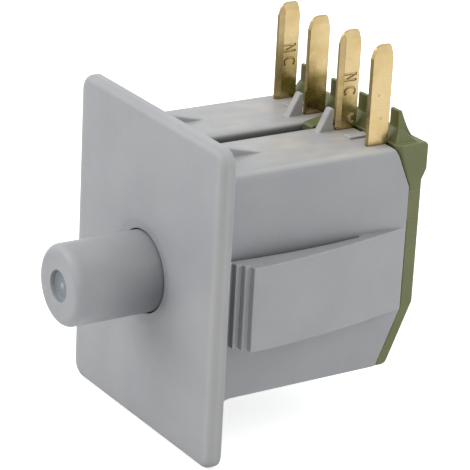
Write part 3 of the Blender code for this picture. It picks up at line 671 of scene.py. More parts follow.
def body_profile():
    """The body's outline seen from the side, with its cut upper and lower rear corners."""
    front = -PLATE_THICKNESS / 2
    reach = BODY_TOP + OVERLAP
    drop = BODY_BOTTOM - OVERLAP
    slope = LOWER_CHAMFER_LENGTH / LOWER_CHAMFER_HEIGHT
    corner = BODY_BOTTOM + LOWER_CHAMFER_HEIGHT
    upper = BODY_TOP - UPPER_CUT_HEIGHT
    rise = UPPER_CUT_LENGTH / UPPER_CUT_HEIGHT
    cut_rear = BODY_DEPTH - UPPER_CUT_LENGTH
    return [
        (front, drop),
        (BODY_DEPTH - slope * (corner - drop), drop),
        (BODY_DEPTH, corner),
        (BODY_DEPTH, upper),
        (cut_rear + rise * UPPER_CUT_ROUND, BODY_TOP - UPPER_CUT_ROUND),
        (cut_rear - UPPER_CUT_ROUND, BODY_TOP),
        (cut_rear - UPPER_CUT_ROUND, reach),
        (front, reach),
    ]


def foot():
    """The curved foot that braces the plate under the body."""
    front, inside = -PLATE_THICKNESS / 2, BODY_BOTTOM + WALL / 2
    outline = [(front, inside), (front, BODY_BOTTOM - FOOT_DROP)]
    for share in shares(2 * ARC_STEPS):
        outline.append((FOOT_LENGTH * share, BODY_BOTTOM - FOOT_DROP * (1 - share) ** 2))
    outline.append((FOOT_LENGTH, inside))
    half = HALF_BODY - BOTTOM_EDGE_RADIUS
    return soften(prism(outline, "X", -half, half), GUSSET_EDGE)


def latch_outline():
    """One latch arm seen from above, on the +X side, with its slot and its steps."""
    span = BODY_DEPTH - LATCH_SHOULDER
    outline = []
    for share in shares(3 * ARC_STEPS):
        outline.append((HALF_BODY + LATCH_REACH * (1 - share**LATCH_BOW), LATCH_SHOULDER + span * share))
    outline += [(HALF_BODY - WALL / 2, BODY_DEPTH), (HALF_BODY - WALL / 2, LATCH_SLOT_END)]
    for share in shares(3 * ARC_STEPS):
        gap = LATCH_SLOT - (LATCH_SLOT - LATCH_SLOT_END_GAP) * (2 * share - 1) ** 2
        outline.append((HALF_BODY + gap, LATCH_SLOT_END + (LATCH_TIP - LATCH_SLOT_END) * share))
    for i in range(STEP_COUNT):
        side = HALF_BODY + LATCH_REACH - (STEP_COUNT - i) * STEP_DEPTH
        front = LATCH_TIP + i * STEP_LENGTH
        outline += [(side, front), (side, front + STEP_LENGTH)]
    return outline


def latch(side):
    """One latch arm, a little deeper at its rear."""
    bottom = -LATCH_HEIGHT / 2 - LATCH_DROP
    outline = [(side * x, y) for x, y in latch_outline()]
    arm = prism(outline, "Z", bottom, bottom + LATCH_HEIGHT)
    for vert in arm.data.vertices:
        if vert.co.z < 0:
            vert.co.z -= LATCH_FLARE * vert.co.y
    return soften(arm, LATCH_EDGE, 2)


def brace_rib(centre):
    """A low rib on one lobe that runs down from the plate, wider at its foot."""
    slope = RIB_HEIGHT / RIB_LENGTH
    foot_height = BODY_TOP - WALL / 2
    front, rear = -PLATE_THICKNESS / 2, RIB_LENGTH + WALL / 2 / slope
    outline = [(front, BODY_TOP + RIB_HEIGHT - slope * front), (rear, foot_height), (front, foot_height)]
    rib = prism(outline, "X", centre - RIB_WIDTH / 2, centre + RIB_WIDTH / 2)
    for vert in rib.data.vertices:
        drop = BODY_TOP + RIB_HEIGHT - vert.co.z
        vert.co.x += math.copysign(RIB_DRAFT * drop, vert.co.x - centre)
    return soften(rib, RIB_EDGE)


def gusset(centre):
    """The small sloped fin in front of an inner blade, flush with the blade's +X face."""
    rear = BLADE_FRONT - GUSSET_GAP
    top, foot_height = BODY_TOP + GUSSET_HEIGHT, BODY_TOP - WALL / 2
    run = (GUSSET_LENGTH - GUSSET_LAND) / GUSSET_HEIGHT * WALL / 2
    outline = [
        (rear - GUSSET_LENGTH - run, foot_height, 0),
        (rear, foot_height, 0),
        (rear, top, GUSSET_ROUND),
        (rear - GUSSET_LAND, top, GUSSET_ROUND),
    ]
    side = centre + BLADE_THICKNESS / 2
    return soften(prism(rounded(outline), "X", side - GUSSET_WIDTH, side), GUSSET_EDGE)


def pad(centre):
    """The thin raised pad between the two blades of a pole."""
    front = BLADE_FRONT - PAD_LEAD
    low = (centre - PAD_WIDTH / 2, front, BODY_TOP - WALL / 2)
    high = (centre + PAD_WIDTH / 2, front + PAD_LENGTH, BODY_TOP + PAD_HEIGHT)
    return soften(block(low, high), PAD_EDGE)


def guide_rails(side):
    """The two rails on one inner wall that the carrier's arm slides between."""
    rails = []
    left, right = sorted((side * (INNER_HALF - GUIDE_WIDTH), side * (INNER_HALF + WALL / 2)))
    front, rear = CARRIER_FRONT - GUIDE_LEAD, BODY_DEPTH - LIP_DEPTH - SEAT_GAP
    for sign in (-1, 1):
        near = sign * (CARRIER_HEIGHT / 2 + GUIDE_CLEARANCE)
        bottom, top = sorted((near, near + sign * GUIDE_THICKNESS))
        rails.append(block((left, front, bottom), (right, rear, top)))
    return rails


def backing_wall():
    """The cross wall that backs the fixed contacts, above the plunger's barrel."""
    rear = LEG_FRONT - SEAT_GAP
    half = INNER_HALF + WALL / 2
    low = (-half, rear - BACKING_THICKNESS, BARREL_RADIUS + BACKING_CLEARANCE)
    return block(low, (half, rear, GROOVE_FLOOR - WALL / 2))


def plunger_hole():
    """The cutter for the hole, its rounded rim and the shallow recess round it."""
    face = -PLATE_THICKNESS
    recess = face + RECESS_DEPTH
    outer = HOLE_RADIUS + RECESS_STEP
    outline = [(0, face - OVERLAP), (outer + RECESS_DEPTH, face - OVERLAP), (outer + RECESS_DEPTH, face)]
    outline.append((outer - RECESS_DEPTH, recess))
    for cosine, sine in quarter_turn():
        outline.append((HOLE_RADIUS + HOLE_ROUND * (1 - sine), recess + HOLE_ROUND * (1 - cosine)))
    return turned(outline + [(HOLE_RADIUS, OVERLAP), (0, OVERLAP)], centre=PLUNGER_AXIS)


def make_housing(material):
    """The plate, the hollow body, both latches and all that is moulded with them."""
    body = prism(body_section(0), "Y", -PLATE_THICKNESS / 2, BODY_DEPTH + OVERLAP)
    combine(body, prism(body_profile(), "X", -HALF_BODY - OVERLAP, HALF_BODY + OVERLAP), "INTERSECT")
    soften(body, BODY_EDGE)
    housing = bezel_plate()
    add(housing, body)
    add(housing, foot())
    cut(housing, prism(body_section(WALL), "Y", 0, BODY_DEPTH + OVERLAP))
    for side in (-1, 1):
        add(housing, latch(side))
        for rail in guide_rails(side):
            add(housing, rail)
    for centre in POLE_CENTRES:
        add(housing, brace_rib(centre + RIB_SHIFT))
        add(housing, pad(centre))
    for centre in BLADE_CENTRES[1:-1]:
        add(housing, gusset(centre))
    add(housing, backing_wall())
    for centre in BLADE_CENTRES:
        half = BLADE_THICKNESS / 2 + SLOT_GAP
        low = (centre - half, BLADE_FRONT - SLOT_GAP, INNER_TOP - OVERLAP)
        cut(housing, block(low, (centre + half, BODY_DEPTH + OVERLAP, BODY_TOP + WALL)))
    cut(housing, plunger_hole())
    return finish_piece(housing, "housing_shell", "housing", "switch_body", material)


def cover_profile():
    """The rear cover's outline seen from the side, round the body's cut corners."""
    slope = LOWER_CHAMFER_LENGTH / LOWER_CHAMFER_HEIGHT
    stretch = math.hypot(1, slope)
    corner = BODY_BOTTOM + LOWER_CHAMFER_HEIGHT
    inner = BODY_DEPTH + COVER_GAP * stretch
    outer = BODY_DEPTH + (SEAT_GAP + COVER_CHAMFER_THICKNESS) * stretch
    bottom = COVER_LOW.z
    inner_corner = corner - (inner - COVER_FRONT) / slope
    outer_corner = corner + (COVER_REAR - outer) / slope
    upper_corner = BODY_TOP - UPPER_CUT_HEIGHT + BLOCK_GAP
    return rounded(
        [
            (COVER_FRONT, inner_corner, 0),
            (inner - slope * (corner - bottom), bottom, 0),
            (outer - slope * (corner - bottom), bottom, COVER_CORNER_RADIUS),
            (COVER_REAR, outer_corner, COVER_CORNER_RADIUS),
            (COVER_REAR, BLOCK_BOTTOM, 0),
            (BLOCK_REAR, BLOCK_BOTTOM + 2 * BLOCK_STEP, BLOCK_RADIUS),
            (BLOCK_REAR, BLOCK_TOP, BLOCK_RADIUS),
            (BLOCK_FRONT, BLOCK_TOP, 0),
            (BLOCK_FRONT, BLOCK_TOP - BLOCK_LEDGE, 0),
            (COVER_FRONT, upper_corner, 0),
        ]
    )


def ridge_outline(front_foot, top, land):
    """The ridge or a fin seen from the side: its front, a flat top and a hollow back."""
    rear = BLOCK_REAR - BLOCK_RADIUS
    foot_height = BLOCK_TOP - OVERLAP
    base = BLOCK_TOP - OVERLAP / 4
    outline = [(front_foot, foot_height), (front_foot, base), (RIDGE_FRONT, top)]
    for share in shares(2 * ARC_STEPS):
        along = RIDGE_FRONT + land + (rear - RIDGE_FRONT - land) * share
        outline.append((along, base + (top - base) * (1 - share) ** RIDGE_HOLLOW))
    return outline + [(rear, foot_height)]


def tongue():
    """The cover's tongue in the body's groove, rising to the rear."""
    front, rear = BODY_DEPTH - TONGUE_LENGTH, BLOCK_FRONT + BLOCK_STEP + OVERLAP
    top = BODY_TOP + TONGUE_LEAD
    bottom = top - TONGUE_THICKNESS
    half = GROOVE_WIDTH / 2 - SEAT_GAP
    outline = rounded(
        [(front, bottom, 0), (rear, bottom, 0), (rear, top + TONGUE_RISE, 0), (front, top, TONGUE_ROUND)]
    )
    return soften(prism(outline, "X", -half, half), COVER_EDGE)


def block_corner(side):
    """The cutter for the chamfer on one front edge of the cover's block, thinner towards its foot."""
    outline = [
        (side * (HALF_BODY - BLOCK_CORNER - OVERLAP), BLOCK_FRONT - OVERLAP),
        (side * (HALF_BODY + OVERLAP), BLOCK_FRONT - OVERLAP),
        (side * (HALF_BODY + OVERLAP), BLOCK_FRONT + BLOCK_CORNER + OVERLAP),
    ]
    cutter = prism(outline, "Z", BLOCK_BOTTOM - OVERLAP, BLOCK_TOP + OVERLAP)
    for vert in cutter.data.vertices:
        vert.co.y += BLOCK_CORNER_LEAN * (BLOCK_TOP - vert.co.z)
    return cutter


def ridge():
    """The ridge on the block, with sloping ends."""
    half = HALF_BODY - RIDGE_INSET
    made = prism(ridge_outline(BLOCK_FRONT + RIDGE_FOOT, RIDGE_TOP, RIDGE_LAND), "X", -half, half)
    for vert in made.data.vertices:
        vert.co.x -= math.copysign(RIDGE_DRAFT * (vert.co.z - BLOCK_TOP), vert.co.x)
    return soften(made, RIDGE_EDGE, 2)


def fin(centre):
    """One tall fin on the ridge."""
    outline = ridge_outline(RIDGE_FRONT, FIN_TOP, FIN_LAND)
    made = prism(outline, "X", centre - FIN_WIDTH / 2, centre + FIN_WIDTH / 2)
    return soften(made, FIN_EDGE)


def side_recess(side):
    """The cutter for the shallow recess on one side of the cover."""
    face = HALF_BODY - SIDE_RECESS_DEPTH
    left, right = sorted((side * face, side * (HALF_BODY + OVERLAP)))
    low = (left, COVER_FRONT - OVERLAP, SIDE_RECESS_LOW)
    return block(low, (right, COVER_REAR + OVERLAP, SIDE_RECESS_HIGH))


def cover_lip():
    """The tabs that locate the cover inside the body, above and below the carrier's path."""
    half = INNER_HALF - GUIDE_CLEARANCE
    front, rear = BODY_DEPTH - LIP_DEPTH, COVER_FRONT + OVERLAP
    path = CARRIER_HEIGHT / 2 + GUIDE_CLEARANCE
    heights = [(BODY_BOTTOM + LOWER_CHAMFER_HEIGHT, -path), (path, BODY_TOP - UPPER_CUT_HEIGHT)]
    tabs = []
    for side in (-1, 1):
        near, far = sorted((side * (half - LIP_THICKNESS), side * half))
        for low, high in heights:
            tabs.append(block((near, front, low), (far, rear, high)))
    return tabs


def make_cover(material):
    """The cover with its block, ridge, fins, tongue, lip, spigot and terminal fingers."""
    cover = prism(cover_profile(), "X", -HALF_BODY, HALF_BODY)
    for side in (-1, 1):
        cut(cover, block_corner(side))
    soften(cover, COVER_EDGE)
    add(cover, ridge())
    for side in (-1, 1):
        cut(cover, side_recess(side))
        for pitches in (0.5, 1.5):
            add(cover, fin(side * (pitches * BLADE_PITCH - FIN_INSET)))
    add(cover, tongue())
    for tab in cover_lip():
        add(cover, tab)
    rear = COVER_FRONT + OVERLAP
    add(cover, disc(SPIGOT_RADIUS, COVER_FRONT - SPIGOT_LENGTH, rear, PLUNGER_AXIS, SMALL_SEGMENTS))
    for centre in BLADE_CENTRES:
        low = (centre - BLADE_THICKNESS / 2, BLADE_REAR + SEAT_GAP, LEG_BOTTOM)
        add(cover, block(low, (centre + BLADE_THICKNESS / 2, rear, LEG_TOP)))
    return finish_piece(cover, "cover_shell", "rear_cover", "switch_body", material)


def plunger_outline():
    """The (radius, y) outline from the gate mark in the dimple to the end of the barrel."""
    tip = PLUNGER_LOW.y
    floor = tip + DIMPLE_DEPTH
    outline = [(0, floor - GATE_HEIGHT), (GATE_RADIUS / 2, floor - GATE_HEIGHT), (GATE_RADIUS, floor)]
    wall = DIMPLE_RADIUS - DIMPLE_SLOPE
    outline += [(wall - 2 * DIMPLE_ROUND, floor), (wall - DIMPLE_ROUND / 2, floor - DIMPLE_ROUND / 2)]
    outline.append((wall, floor - 2 * DIMPLE_ROUND))
    for cosine, sine in quarter_turn(ARC_STEPS // 2):
        outline.append((DIMPLE_RADIUS - DIMPLE_ROUND * cosine, tip + DIMPLE_ROUND * (1 - sine)))
    for cosine, sine in quarter_turn(2 * ARC_STEPS):
        reach = PLUNGER_RADIUS - PLUNGER_TIP_ROUND * (1 - sine)
        outline.append((reach, tip + PLUNGER_TIP_ROUND * (1 - cosine)))
    flange_radius = HOLE_RADIUS + FLANGE_STEP
    flange_rear = SEAT_GAP + FLANGE_THICKNESS
    return outline + [
        (PLUNGER_RADIUS, SEAT_GAP),
        (flange_radius, SEAT_GAP),
        (flange_radius, flange_rear),
        (BARREL_RADIUS, flange_rear),
        (BARREL_RADIUS, CARRIER_REAR),
        (0, CARRIER_REAR),
    ]


def make_plunger(material):
    """The push button with its flange, barrel and the carrier of both contact bridges."""
    plunger = turned(plunger_outline(), centre=PLUNGER_AXIS)
    arm = INNER_HALF - GUIDE_CLEARANCE
    half = CARRIER_HEIGHT / 2
    add(plunger, soften(block((-arm, CARRIER_FRONT, -half), (arm, CARRIER_REAR, half)), COVER_EDGE))
    for centre, (bridge_low, bridge_high) in zip(POLE_CENTRES, BRIDGE_BOXES):
        low = (centre - POST_WIDTH / 2, CARRIER_FRONT, 0)
        add(plunger, block(low, (centre + POST_WIDTH / 2, CARRIER_REAR, PLUNGER_HIGH.z)))
        low = (centre - POST_WIDTH, bridge_low.y - SEAT_GAP, bridge_low.z - GUIDE_CLEARANCE)
        cut(plunger, block(low, (centre + POST_WIDTH, WINDOW_REAR, bridge_high.z + GUIDE_CLEARANCE)))
    cut(plunger, disc(BORE_RADIUS, BORE_FLOOR, CARRIER_REAR + OVERLAP, PLUNGER_AXIS))
    return finish_piece(plunger, "push_button", "plunger", "plunger_body", material)


def letter_n():
    """The outline of an N as (along the line of text, up the letter)."""
    length, height, stroke = LETTER_N_LENGTH, LETTER_HEIGHT, LETTER_STROKE
    slant = LETTER_N_SLANT * stroke
    return [
        (0, 0), (0, height), (stroke, height), (length - stroke, slant), (length - stroke, height),
        (length, height), (length, 0), (length - stroke, 0), (stroke, height - slant), (stroke, 0),
    ]


def letter_c():
    """The outline of a C as (along the line of text, up the letter)."""
    outline = []
    half = LETTER_C_LENGTH / 2
    opening = math.radians(LETTER_C_OPENING)
    for shrink in (0, LETTER_STROKE):
        arc = []
        for share in shares(4 * ARC_STEPS):
            angle = opening + (math.tau - 2 * opening) * share
            across = half + (half - shrink) * math.cos(angle)
            arc.append((across, LETTER_HEIGHT / 2 + (LETTER_HEIGHT / 2 - shrink) * math.sin(angle)))
        outline += arc if shrink == 0 else reversed(arc)
    return outline


def stamp_mark(terminal, face):
    """Presses the normally closed mark into a blade's +X face."""
    start = MARK_START
    for outline, length in ((letter_n(), LETTER_N_LENGTH), (letter_c(), LETTER_C_LENGTH)):
        placed = [(MARK_FOOT + up, start - along) for along, up in outline]
        cut(terminal, prism(placed, "X", face - LETTER_DEPTH, face + LETTER_DEPTH))
        start -= length + LETTER_GAP


def curled_burr(face):
    """A small curl of metal left on a blade's +X face."""
    outline = []
    y, z = BURR_PLACE
    for radius, way in ((BURR_RADIUS, 1), (BURR_RADIUS - BURR_WIDTH, -1)):
        for share in shares(2 * ARC_STEPS)[::way]:
            angle = math.radians(BURR_START + BURR_TURN * share)
            outline.append((y + radius * math.cos(angle), z + radius * math.sin(angle)))
    return prism(outline, "X", face - BLADE_THICKNESS / 3, face + BURR_HEIGHT)


def folded_leg(index):
    """The lower leg seen from above: a strip that runs forward and folds towards the pole."""
    centre = BLADE_CENTRES[index]
    inward = 1 if index % 2 == 0 else -1
    low, high = TERMINAL_BOXES[index]
    half = BLADE_THICKNESS / 2 - LEG_SINK
    near = centre + inward * half
    far = centre - inward * half
    rear = BLADE_FRONT + OVERLAP
    end = high.x if inward > 0 else low.x
    outline = rounded(
        [
            (far, rear, 0),
            (far, LEG_FRONT, BEND_RADIUS),
            (end, LEG_FRONT, 0),
            (end, TAB_REAR, 0),
            (near, TAB_REAR, BEND_RADIUS - BLADE_THICKNESS),
            (near, rear, 0),
        ]
    )
    return prism(outline, "Z", LEG_BOTTOM + LEG_SINK, LEG_TOP)


def rivet_hole(contact_box, front, rear):
    """The cutter for the hole that one contact rivet's shank passes through."""
    radius = RIVET_SHANK_RADIUS + RIVET_GAP
    return disc(radius, front - OVERLAP, rear + OVERLAP, middle(contact_box), SMALL_SEGMENTS)


def make_terminal(index, material):
    """A stamped terminal: the outer blade, its shoulder, and a leg folded to carry a rivet."""
    centre = BLADE_CENTRES[index]
    half = BLADE_THICKNESS / 2
    shoulder_top = INNER_TOP - SEAT_GAP
    shoulder_front = BLADE_FRONT - SHOULDER_STEP
    blade = [
        (BLADE_FRONT, shoulder_top, 0),
        (BLADE_FRONT, BLADE_TOP - BLADE_CUT_LENGTH, 0),
        (BLADE_FRONT + BLADE_FRONT_CUT, BLADE_TOP, BLADE_FRONT_ROUND),
        (BLADE_REAR - BLADE_REAR_CUT, BLADE_TOP, BLADE_REAR_ROUND),
        (BLADE_REAR, BLADE_TOP - BLADE_CUT_LENGTH, 0),
        (BLADE_REAR, LEG_BOTTOM, 0),
        (BLADE_FRONT, LEG_BOTTOM, 0),
        (BLADE_FRONT, shoulder_top - SHOULDER_HEIGHT, 0),
        (shoulder_front, shoulder_top - SHOULDER_HEIGHT, 0),
        (shoulder_front, shoulder_top, 0),
    ]
    terminal = prism(rounded(blade), "X", centre - half, centre + half)
    tip = BLADE_TOP - BLADE_TIP_LENGTH
    thin = BLADE_TIP_THICKNESS / 2
    wedge = [(-half, 0), (-half, tip), (-thin, BLADE_TOP), (thin, BLADE_TOP), (half, tip), (half, 0)]
    outline = [(centre + x, z) for x, z in wedge]
    combine(terminal, prism(outline, "Y", shoulder_front - OVERLAP, BLADE_REAR + OVERLAP), "INTERSECT")
    marked = index % 2 == 0
    if marked:
        cut(terminal, edge_bevel(centre + half))
    soften(terminal, BLADE_EDGE, 2)
    if index == BURR_BLADE:
        add(terminal, curled_burr(centre + half))
    add(terminal, folded_leg(index))
    cut(terminal, rivet_hole(FIXED_BOXES[index], LEG_FRONT, TAB_REAR))
    if marked:
        stamp_mark(terminal, centre + half)
    node = f"terminal_{index + 1}"
    name = f"blade_{node}"
    return finish_piece(terminal, name, node, "switch_body", material, BLADE_SMOOTH_ANGLE)


def edge_bevel(face):
    """The cutter for the long bevel on a blade's front edge, half the blade's thickness deep."""
    depth = BLADE_THICKNESS / 2
    outline = [
        (face + depth, BLADE_FRONT - BLADE_LONG_BEVEL),
        (face + depth, BLADE_FRONT + 2 * BLADE_LONG_BEVEL),
        (face - 2 * depth, BLADE_FRONT - BLADE_LONG_BEVEL),
    ]
    return prism(outline, "Z", BODY_TOP + SEAT_GAP, BLADE_TOP + OVERLAP)


def make_rivet(node, contact_box, toward, body, material):
    """A contact rivet along Y: a domed head towards one side, and a shank behind it."""
    low, high = contact_box
    radius = (high.x - low.x) / 2
    seat = high.y - RIVET_HEAD_HEIGHT if toward > 0 else low.y + RIVET_HEAD_HEIGHT
    tail = (low.y if toward > 0 else high.y) - seat
    shoulder = RIVET_HEAD_HEIGHT - RIVET_CROWN_HEIGHT
    outline = [(0, tail), (RIVET_SHANK_RADIUS, tail), (RIVET_SHANK_RADIUS, 0), (radius, 0)]
    for share, (cosine, sine) in zip(shares(ARC_STEPS), quarter_turn()):
        reach = (radius - RIVET_EDGE) * cosine + RIVET_EDGE * (1 - share)
        outline.append((reach, toward * (shoulder + RIVET_CROWN_HEIGHT * sine)))
    outline[-1] = (0, toward * RIVET_HEAD_HEIGHT)
    rivet = turned(outline, SMALL_SEGMENTS, middle(contact_box, seat))
    return finish_piece(rivet, f"rivet_{node}", node, body, material)


def make_bridge(index, material):
    """The flat contact bridge of one pole, with holes for its two rivets."""
    low, high = BRIDGE_BOXES[index]
    corners = [(low.x, low.z), (high.x, low.z), (high.x, high.z), (low.x, high.z)]
    outline = rounded([(x, z, BRIDGE_CORNER_RADIUS) for x, z in corners])
    bridge = soften(prism(outline, "Y", low.y, high.y), BRIDGE_EDGE, 2)
    for terminal in (2 * index, 2 * index + 1):
        cut(bridge, rivet_hole(MOVING_BOXES[terminal], low.y, high.y))
    node = f"contact_bridge_{index + 1}"
    return finish_piece(bridge, f"plate_{node}", node, "plunger_body", material)


def make_spring(node, wire, turns, body, material):
    """A compression spring along Y with closed end turns, as long as its CAD node."""
    low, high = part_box(node)
    radius = (high.x - low.x - wire) / 2
    closed = wire * CLOSED_TURN_PITCH
    spread = (high.y - low.y - wire - 2 * closed) / (turns - 2)
    curve = bpy.data.curves.new(node, "CURVE")
    curve.dimensions = "3D"
    curve.bevel_depth = wire / 2
    curve.bevel_resolution = 3
    curve.use_fill_caps = True
    spline = curve.splines.new("POLY")
    count = round(turns * COIL_STEPS)
    spline.points.add(count)
    for i, point in enumerate(spline.points):
        turn = turns * i / count
        along = closed * min(turn, 1) + spread * min(max(turn - 1, 0), turns - 2)
        along += closed * max(turn - turns + 1, 0)
        angle = math.tau * turn
        x = (low.x + high.x) / 2 + radius * math.cos(angle)
        z = (low.z + high.z) / 2 + radius * math.sin(angle)
        point.co = (x, low.y + wire / 2 + along, z, 1)
    bent = place_object(node, curve)
    graph = bpy.context.evaluated_depsgraph_get()
    spring = place_object(node, bpy.data.meshes.new_from_object(bent.evaluated_get(graph)))
    bpy.data.objects.remove(bent)
    return finish_piece(spring, f"coil_{node}", node, body, material)


def squash_return_spring(spring):
    """Gives the return spring a mesh of its own."""
    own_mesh(spring)


def add_node(tree, kind, inputs, **settings):
    """Adds a shader node and returns its outputs; each input takes an output or a plain value."""
    made = tree.nodes.new(f"ShaderNode{kind}")
    for key, value in settings.items():
        setattr(made, key, value)
    for key, value in inputs.items():
        if isinstance(value, bpy.types.NodeSocket):
            tree.links.new(value, made.inputs[key])
        else:
            made.inputs[key].default_value = value
    return made.outputs


class Shader:
    """A material's node tree, with short calls for the nodes used here."""

    def __init__(self, name, roughness, metallic=0.0):
        self.material = bpy.data.materials.new(name)
        self.material.use_nodes = True
        self.tree = self.material.node_tree
        self.surface = self.tree.nodes["Principled BSDF"]
        self.surface.inputs["Metallic"].default_value = metallic
        self.surface.inputs["Roughness"].default_value = roughness
        self.place = self.add("TexCoord", {})["Object"]

    def add(self, kind, inputs, **settings):
        return add_node(self.tree, kind, inputs, **settings)

    def set(self, key, output):
        self.tree.links.new(output, self.surface.inputs[key])

    def stretched(self, scale):
        """The place on the piece, scaled along X, Y and Z."""
        return self.add("Mapping", {"Vector": self.place, "Scale": scale})[0]

    def noise(self, scale, detail=3, place=None):
        """Noise with the given number of features in a metre."""
        return self.add("TexNoise", {"Vector": place or self.place, "Scale": scale, "Detail": detail})[0]

    def spread(self, value, low, high, new_low=0.0, new_high=1.0):
        """Maps a value from one range to another, held at the ends."""
        limits = {"From Min": low, "From Max": high, "To Min": new_low, "To Max": new_high}
        return self.add("MapRange", {"Value": value, **limits})[0]

    def mix(self, share, first, second):
        """A colour between two colours; each is an output or three numbers."""
        inputs = {0: share, 6: first, 7: second}
        for key in (6, 7):
            if isinstance(inputs[key], tuple):
                inputs[key] = (*inputs[key], 1.0)
        return self.add("Mix", inputs, data_type="RGBA")[2]

    def math(self, operation, first, second):
        return self.add("Math", {0: first, 1: second}, operation=operation)[0]

    def product(self, first, *others):
        for other in others:
            first = self.math("MULTIPLY", first, other)
        return first

    def bump(self, height, distance, before=None):
        """A bump of the given height in metres, on top of an earlier normal."""
        inputs = {"Height": height, "Distance": distance}
        if before:
            inputs["Normal"] = before
        return self.add("Bump", inputs)[0]

    def hollows(self, distance, low, high):
        """0 in narrow hollows and 1 on open faces."""
        return self.spread(self.add("AmbientOcclusion", {"Distance": distance}, samples=8)["AO"], low, high)

    def soft_edges(self, radius):
        return self.add("Bevel", {"Radius": radius}, samples=4)[0]

    def facing(self, direction):
        """1 where the surface faces a direction, 0 side on and -1 behind."""
        if isinstance(direction, tuple):
            direction = Vector(direction).normalized()
        normal = self.add("NewGeometry", {})["Normal"]
        return self.add("VectorMath", {0: normal, 1: direction}, operation="DOT_PRODUCT")["Value"]

    def edges(self, radius):
        """0 on smooth faces and 1 close to a sharp edge."""
        return self.spread(self.facing(self.soft_edges(radius)), 0.998, 0.93)

    def along(self, axis):
        """The place along one axis, in metres."""
        return self.add("SeparateXYZ", {0: self.place})[axis]

    def away_from(self, place):
        """The distance from a place, in metres."""
        return self.add("VectorMath", {0: self.place, 1: place}, operation="DISTANCE")["Value"]

    def spot(self, place, radius):
        """1 inside a small spot with soft borders."""
        return self.spread(self.away_from(place), 0.6 * radius, radius, 1, 0)


class Nylon(Shader):
    """Moulded nylon: faint flow clouds, fine grain, pale edges that are partly wear and partly painted
    highlight, painted shade in hollows and a soft, uneven gloss.
    """

    def __init__(self, name, colour, shade, pale_tone):
        super().__init__(name, 0.4)
        self.pale_tone = tuple(1.25 * part for part in pale_tone)
        # A dimmed darker colour, painted as shade in narrow hollows
        self.deep = tuple(0.45 * part for part in shade)
        # The darker colour also gives the nylon's own clouds of tone
        clouds = self.spread(self.noise(CLOUDS, 4), 0.35, 0.65)
        grain = self.spread(self.noise(GRAIN, 2), 0.3, 0.7, 0, 0.12)
        self.tint = self.mix(grain, self.mix(clouds, shade, colour), pale_tone)
        self.surface.inputs["Specular IOR Level"].default_value = 0.42
        self.set("Roughness", self.spread(self.noise(GLOSS, 3), 0.3, 0.7, 0.32, 0.46))
        normal = self.bump(self.noise(PORES, 3), PORE_DEPTH, self.soft_edges(SOFT_EDGE))
        self.set("Normal", self.bump(self.noise(WAVES, 2), WAVE_DEPTH, normal))

    def lay(self, colour, *masks):
        """Lays a colour over the tint by the product of the masks."""
        self.tint = self.mix(self.product(*masks), self.tint, colour)

    def done(self):
        """Adds the pale edges, partly wear and partly painted highlight, and the painted shade in hollows,
        and returns the material.
        """
        # Pale edges: partly wear and partly a painted highlight along the edges
        patchy = self.spread(self.noise(EDGE_PATCHES, 3), 0.35, 0.6, 0.25, 0.9)
        self.lay(self.pale_tone, self.edges(WORN_AND_HIGHLIT_EDGE), patchy)
        # Painted shade: the dimmed darker colour in narrow hollows
        self.set("Base Color", self.mix(self.hollows(NYLON_SHADE_REACH, 0.02, 0.65), self.deep, self.tint))
        return self.material


def housing_nylon(*colours):
    """The housing's nylon: painted shade in the groove, on the gussets and in the hole's recess, painted
    light on the plate's side rim and the turn of the top, painted warm gleams by the blades, and nicks.
    """
    shader = Nylon(*colours)
    x, y, z = (shader.along(axis) for axis in "XYZ")
    across = shader.math("ABSOLUTE", x, 0.0)
    border, groove, rim = TINT_BORDER, GROOVE_WIDTH / 2, HOUSING_HIGH.x
    # Painted shade deep in the groove, behind the plate
    in_groove = shader.spread(across, groove + 0.25 * border, groove + 1.25 * border, 1, 0)
    below_rim = shader.spread(z, BODY_TOP - 1.5 * border, BODY_TOP - 0.625 * border, 0.8, 0)
    behind_plate = shader.spread(y, -0.5 * border, 0.5 * border)
    shader.lay(GROOVE_SHADE, in_groove, below_rim, behind_plate)
    # Painted light on the plate's rounded side rims
    before_body = shader.spread(y, -2 * border, -0.5 * border, 1, 0)
    side_rim = shader.spread(across, rim - 4 * border, rim - 1.5 * border, 0, 0.55)
    shader.lay(PLATE_RIM_LIGHT, before_body, side_rim)
    # Painted shade on what stands above the top near the blades, such as the gussets and pads
    above_top = shader.spread(z, BODY_TOP + 0.5 * border, BODY_TOP + 1.5 * border)
    near_blades = shader.spread(y, GUSSET_TINT_START, GUSSET_TINT_FULL)
    shader.lay(GUSSET_SHADE, above_top, near_blades, 0.55)
    # Painted highlight on the rounded turn from the top to the +X side
    turning = shader.spread(shader.facing(TURN_SIDE), 0.93, 0.985, 0, 0.5)
    shader.lay(TURN_GLEAM, turning, behind_plate)
    # Painted warm reflection of the blades, in patches on the top
    on_top = shader.spread(z, BODY_TOP - border, BODY_TOP - 0.25 * border)
    towards_blades = shader.spread(y, GLEAM_START, GLEAM_FULL)
    gleams = shader.spread(shader.noise(1.0, 5, shader.stretched(GLEAM_STRETCH)), 0.42, 0.66, 0, 0.5)
    shader.lay(TOP_GLEAM, on_top, towards_blades, gleams)
    hole = (PLUNGER_AXIS[0], -PLATE_THICKNESS, PLUNGER_AXIS[2])
    edge = HOLE_RADIUS + RECESS_STEP
    in_recess = shader.spread(shader.away_from(hole), edge - 0.25 * border, edge, 0.22, 0)
    shader.lay(RECESS_SHADE, in_recess)
    for place in NICKS:
        shader.lay(NICK_TINT, shader.spot(place, NICK_RADIUS))
    return shader.done()


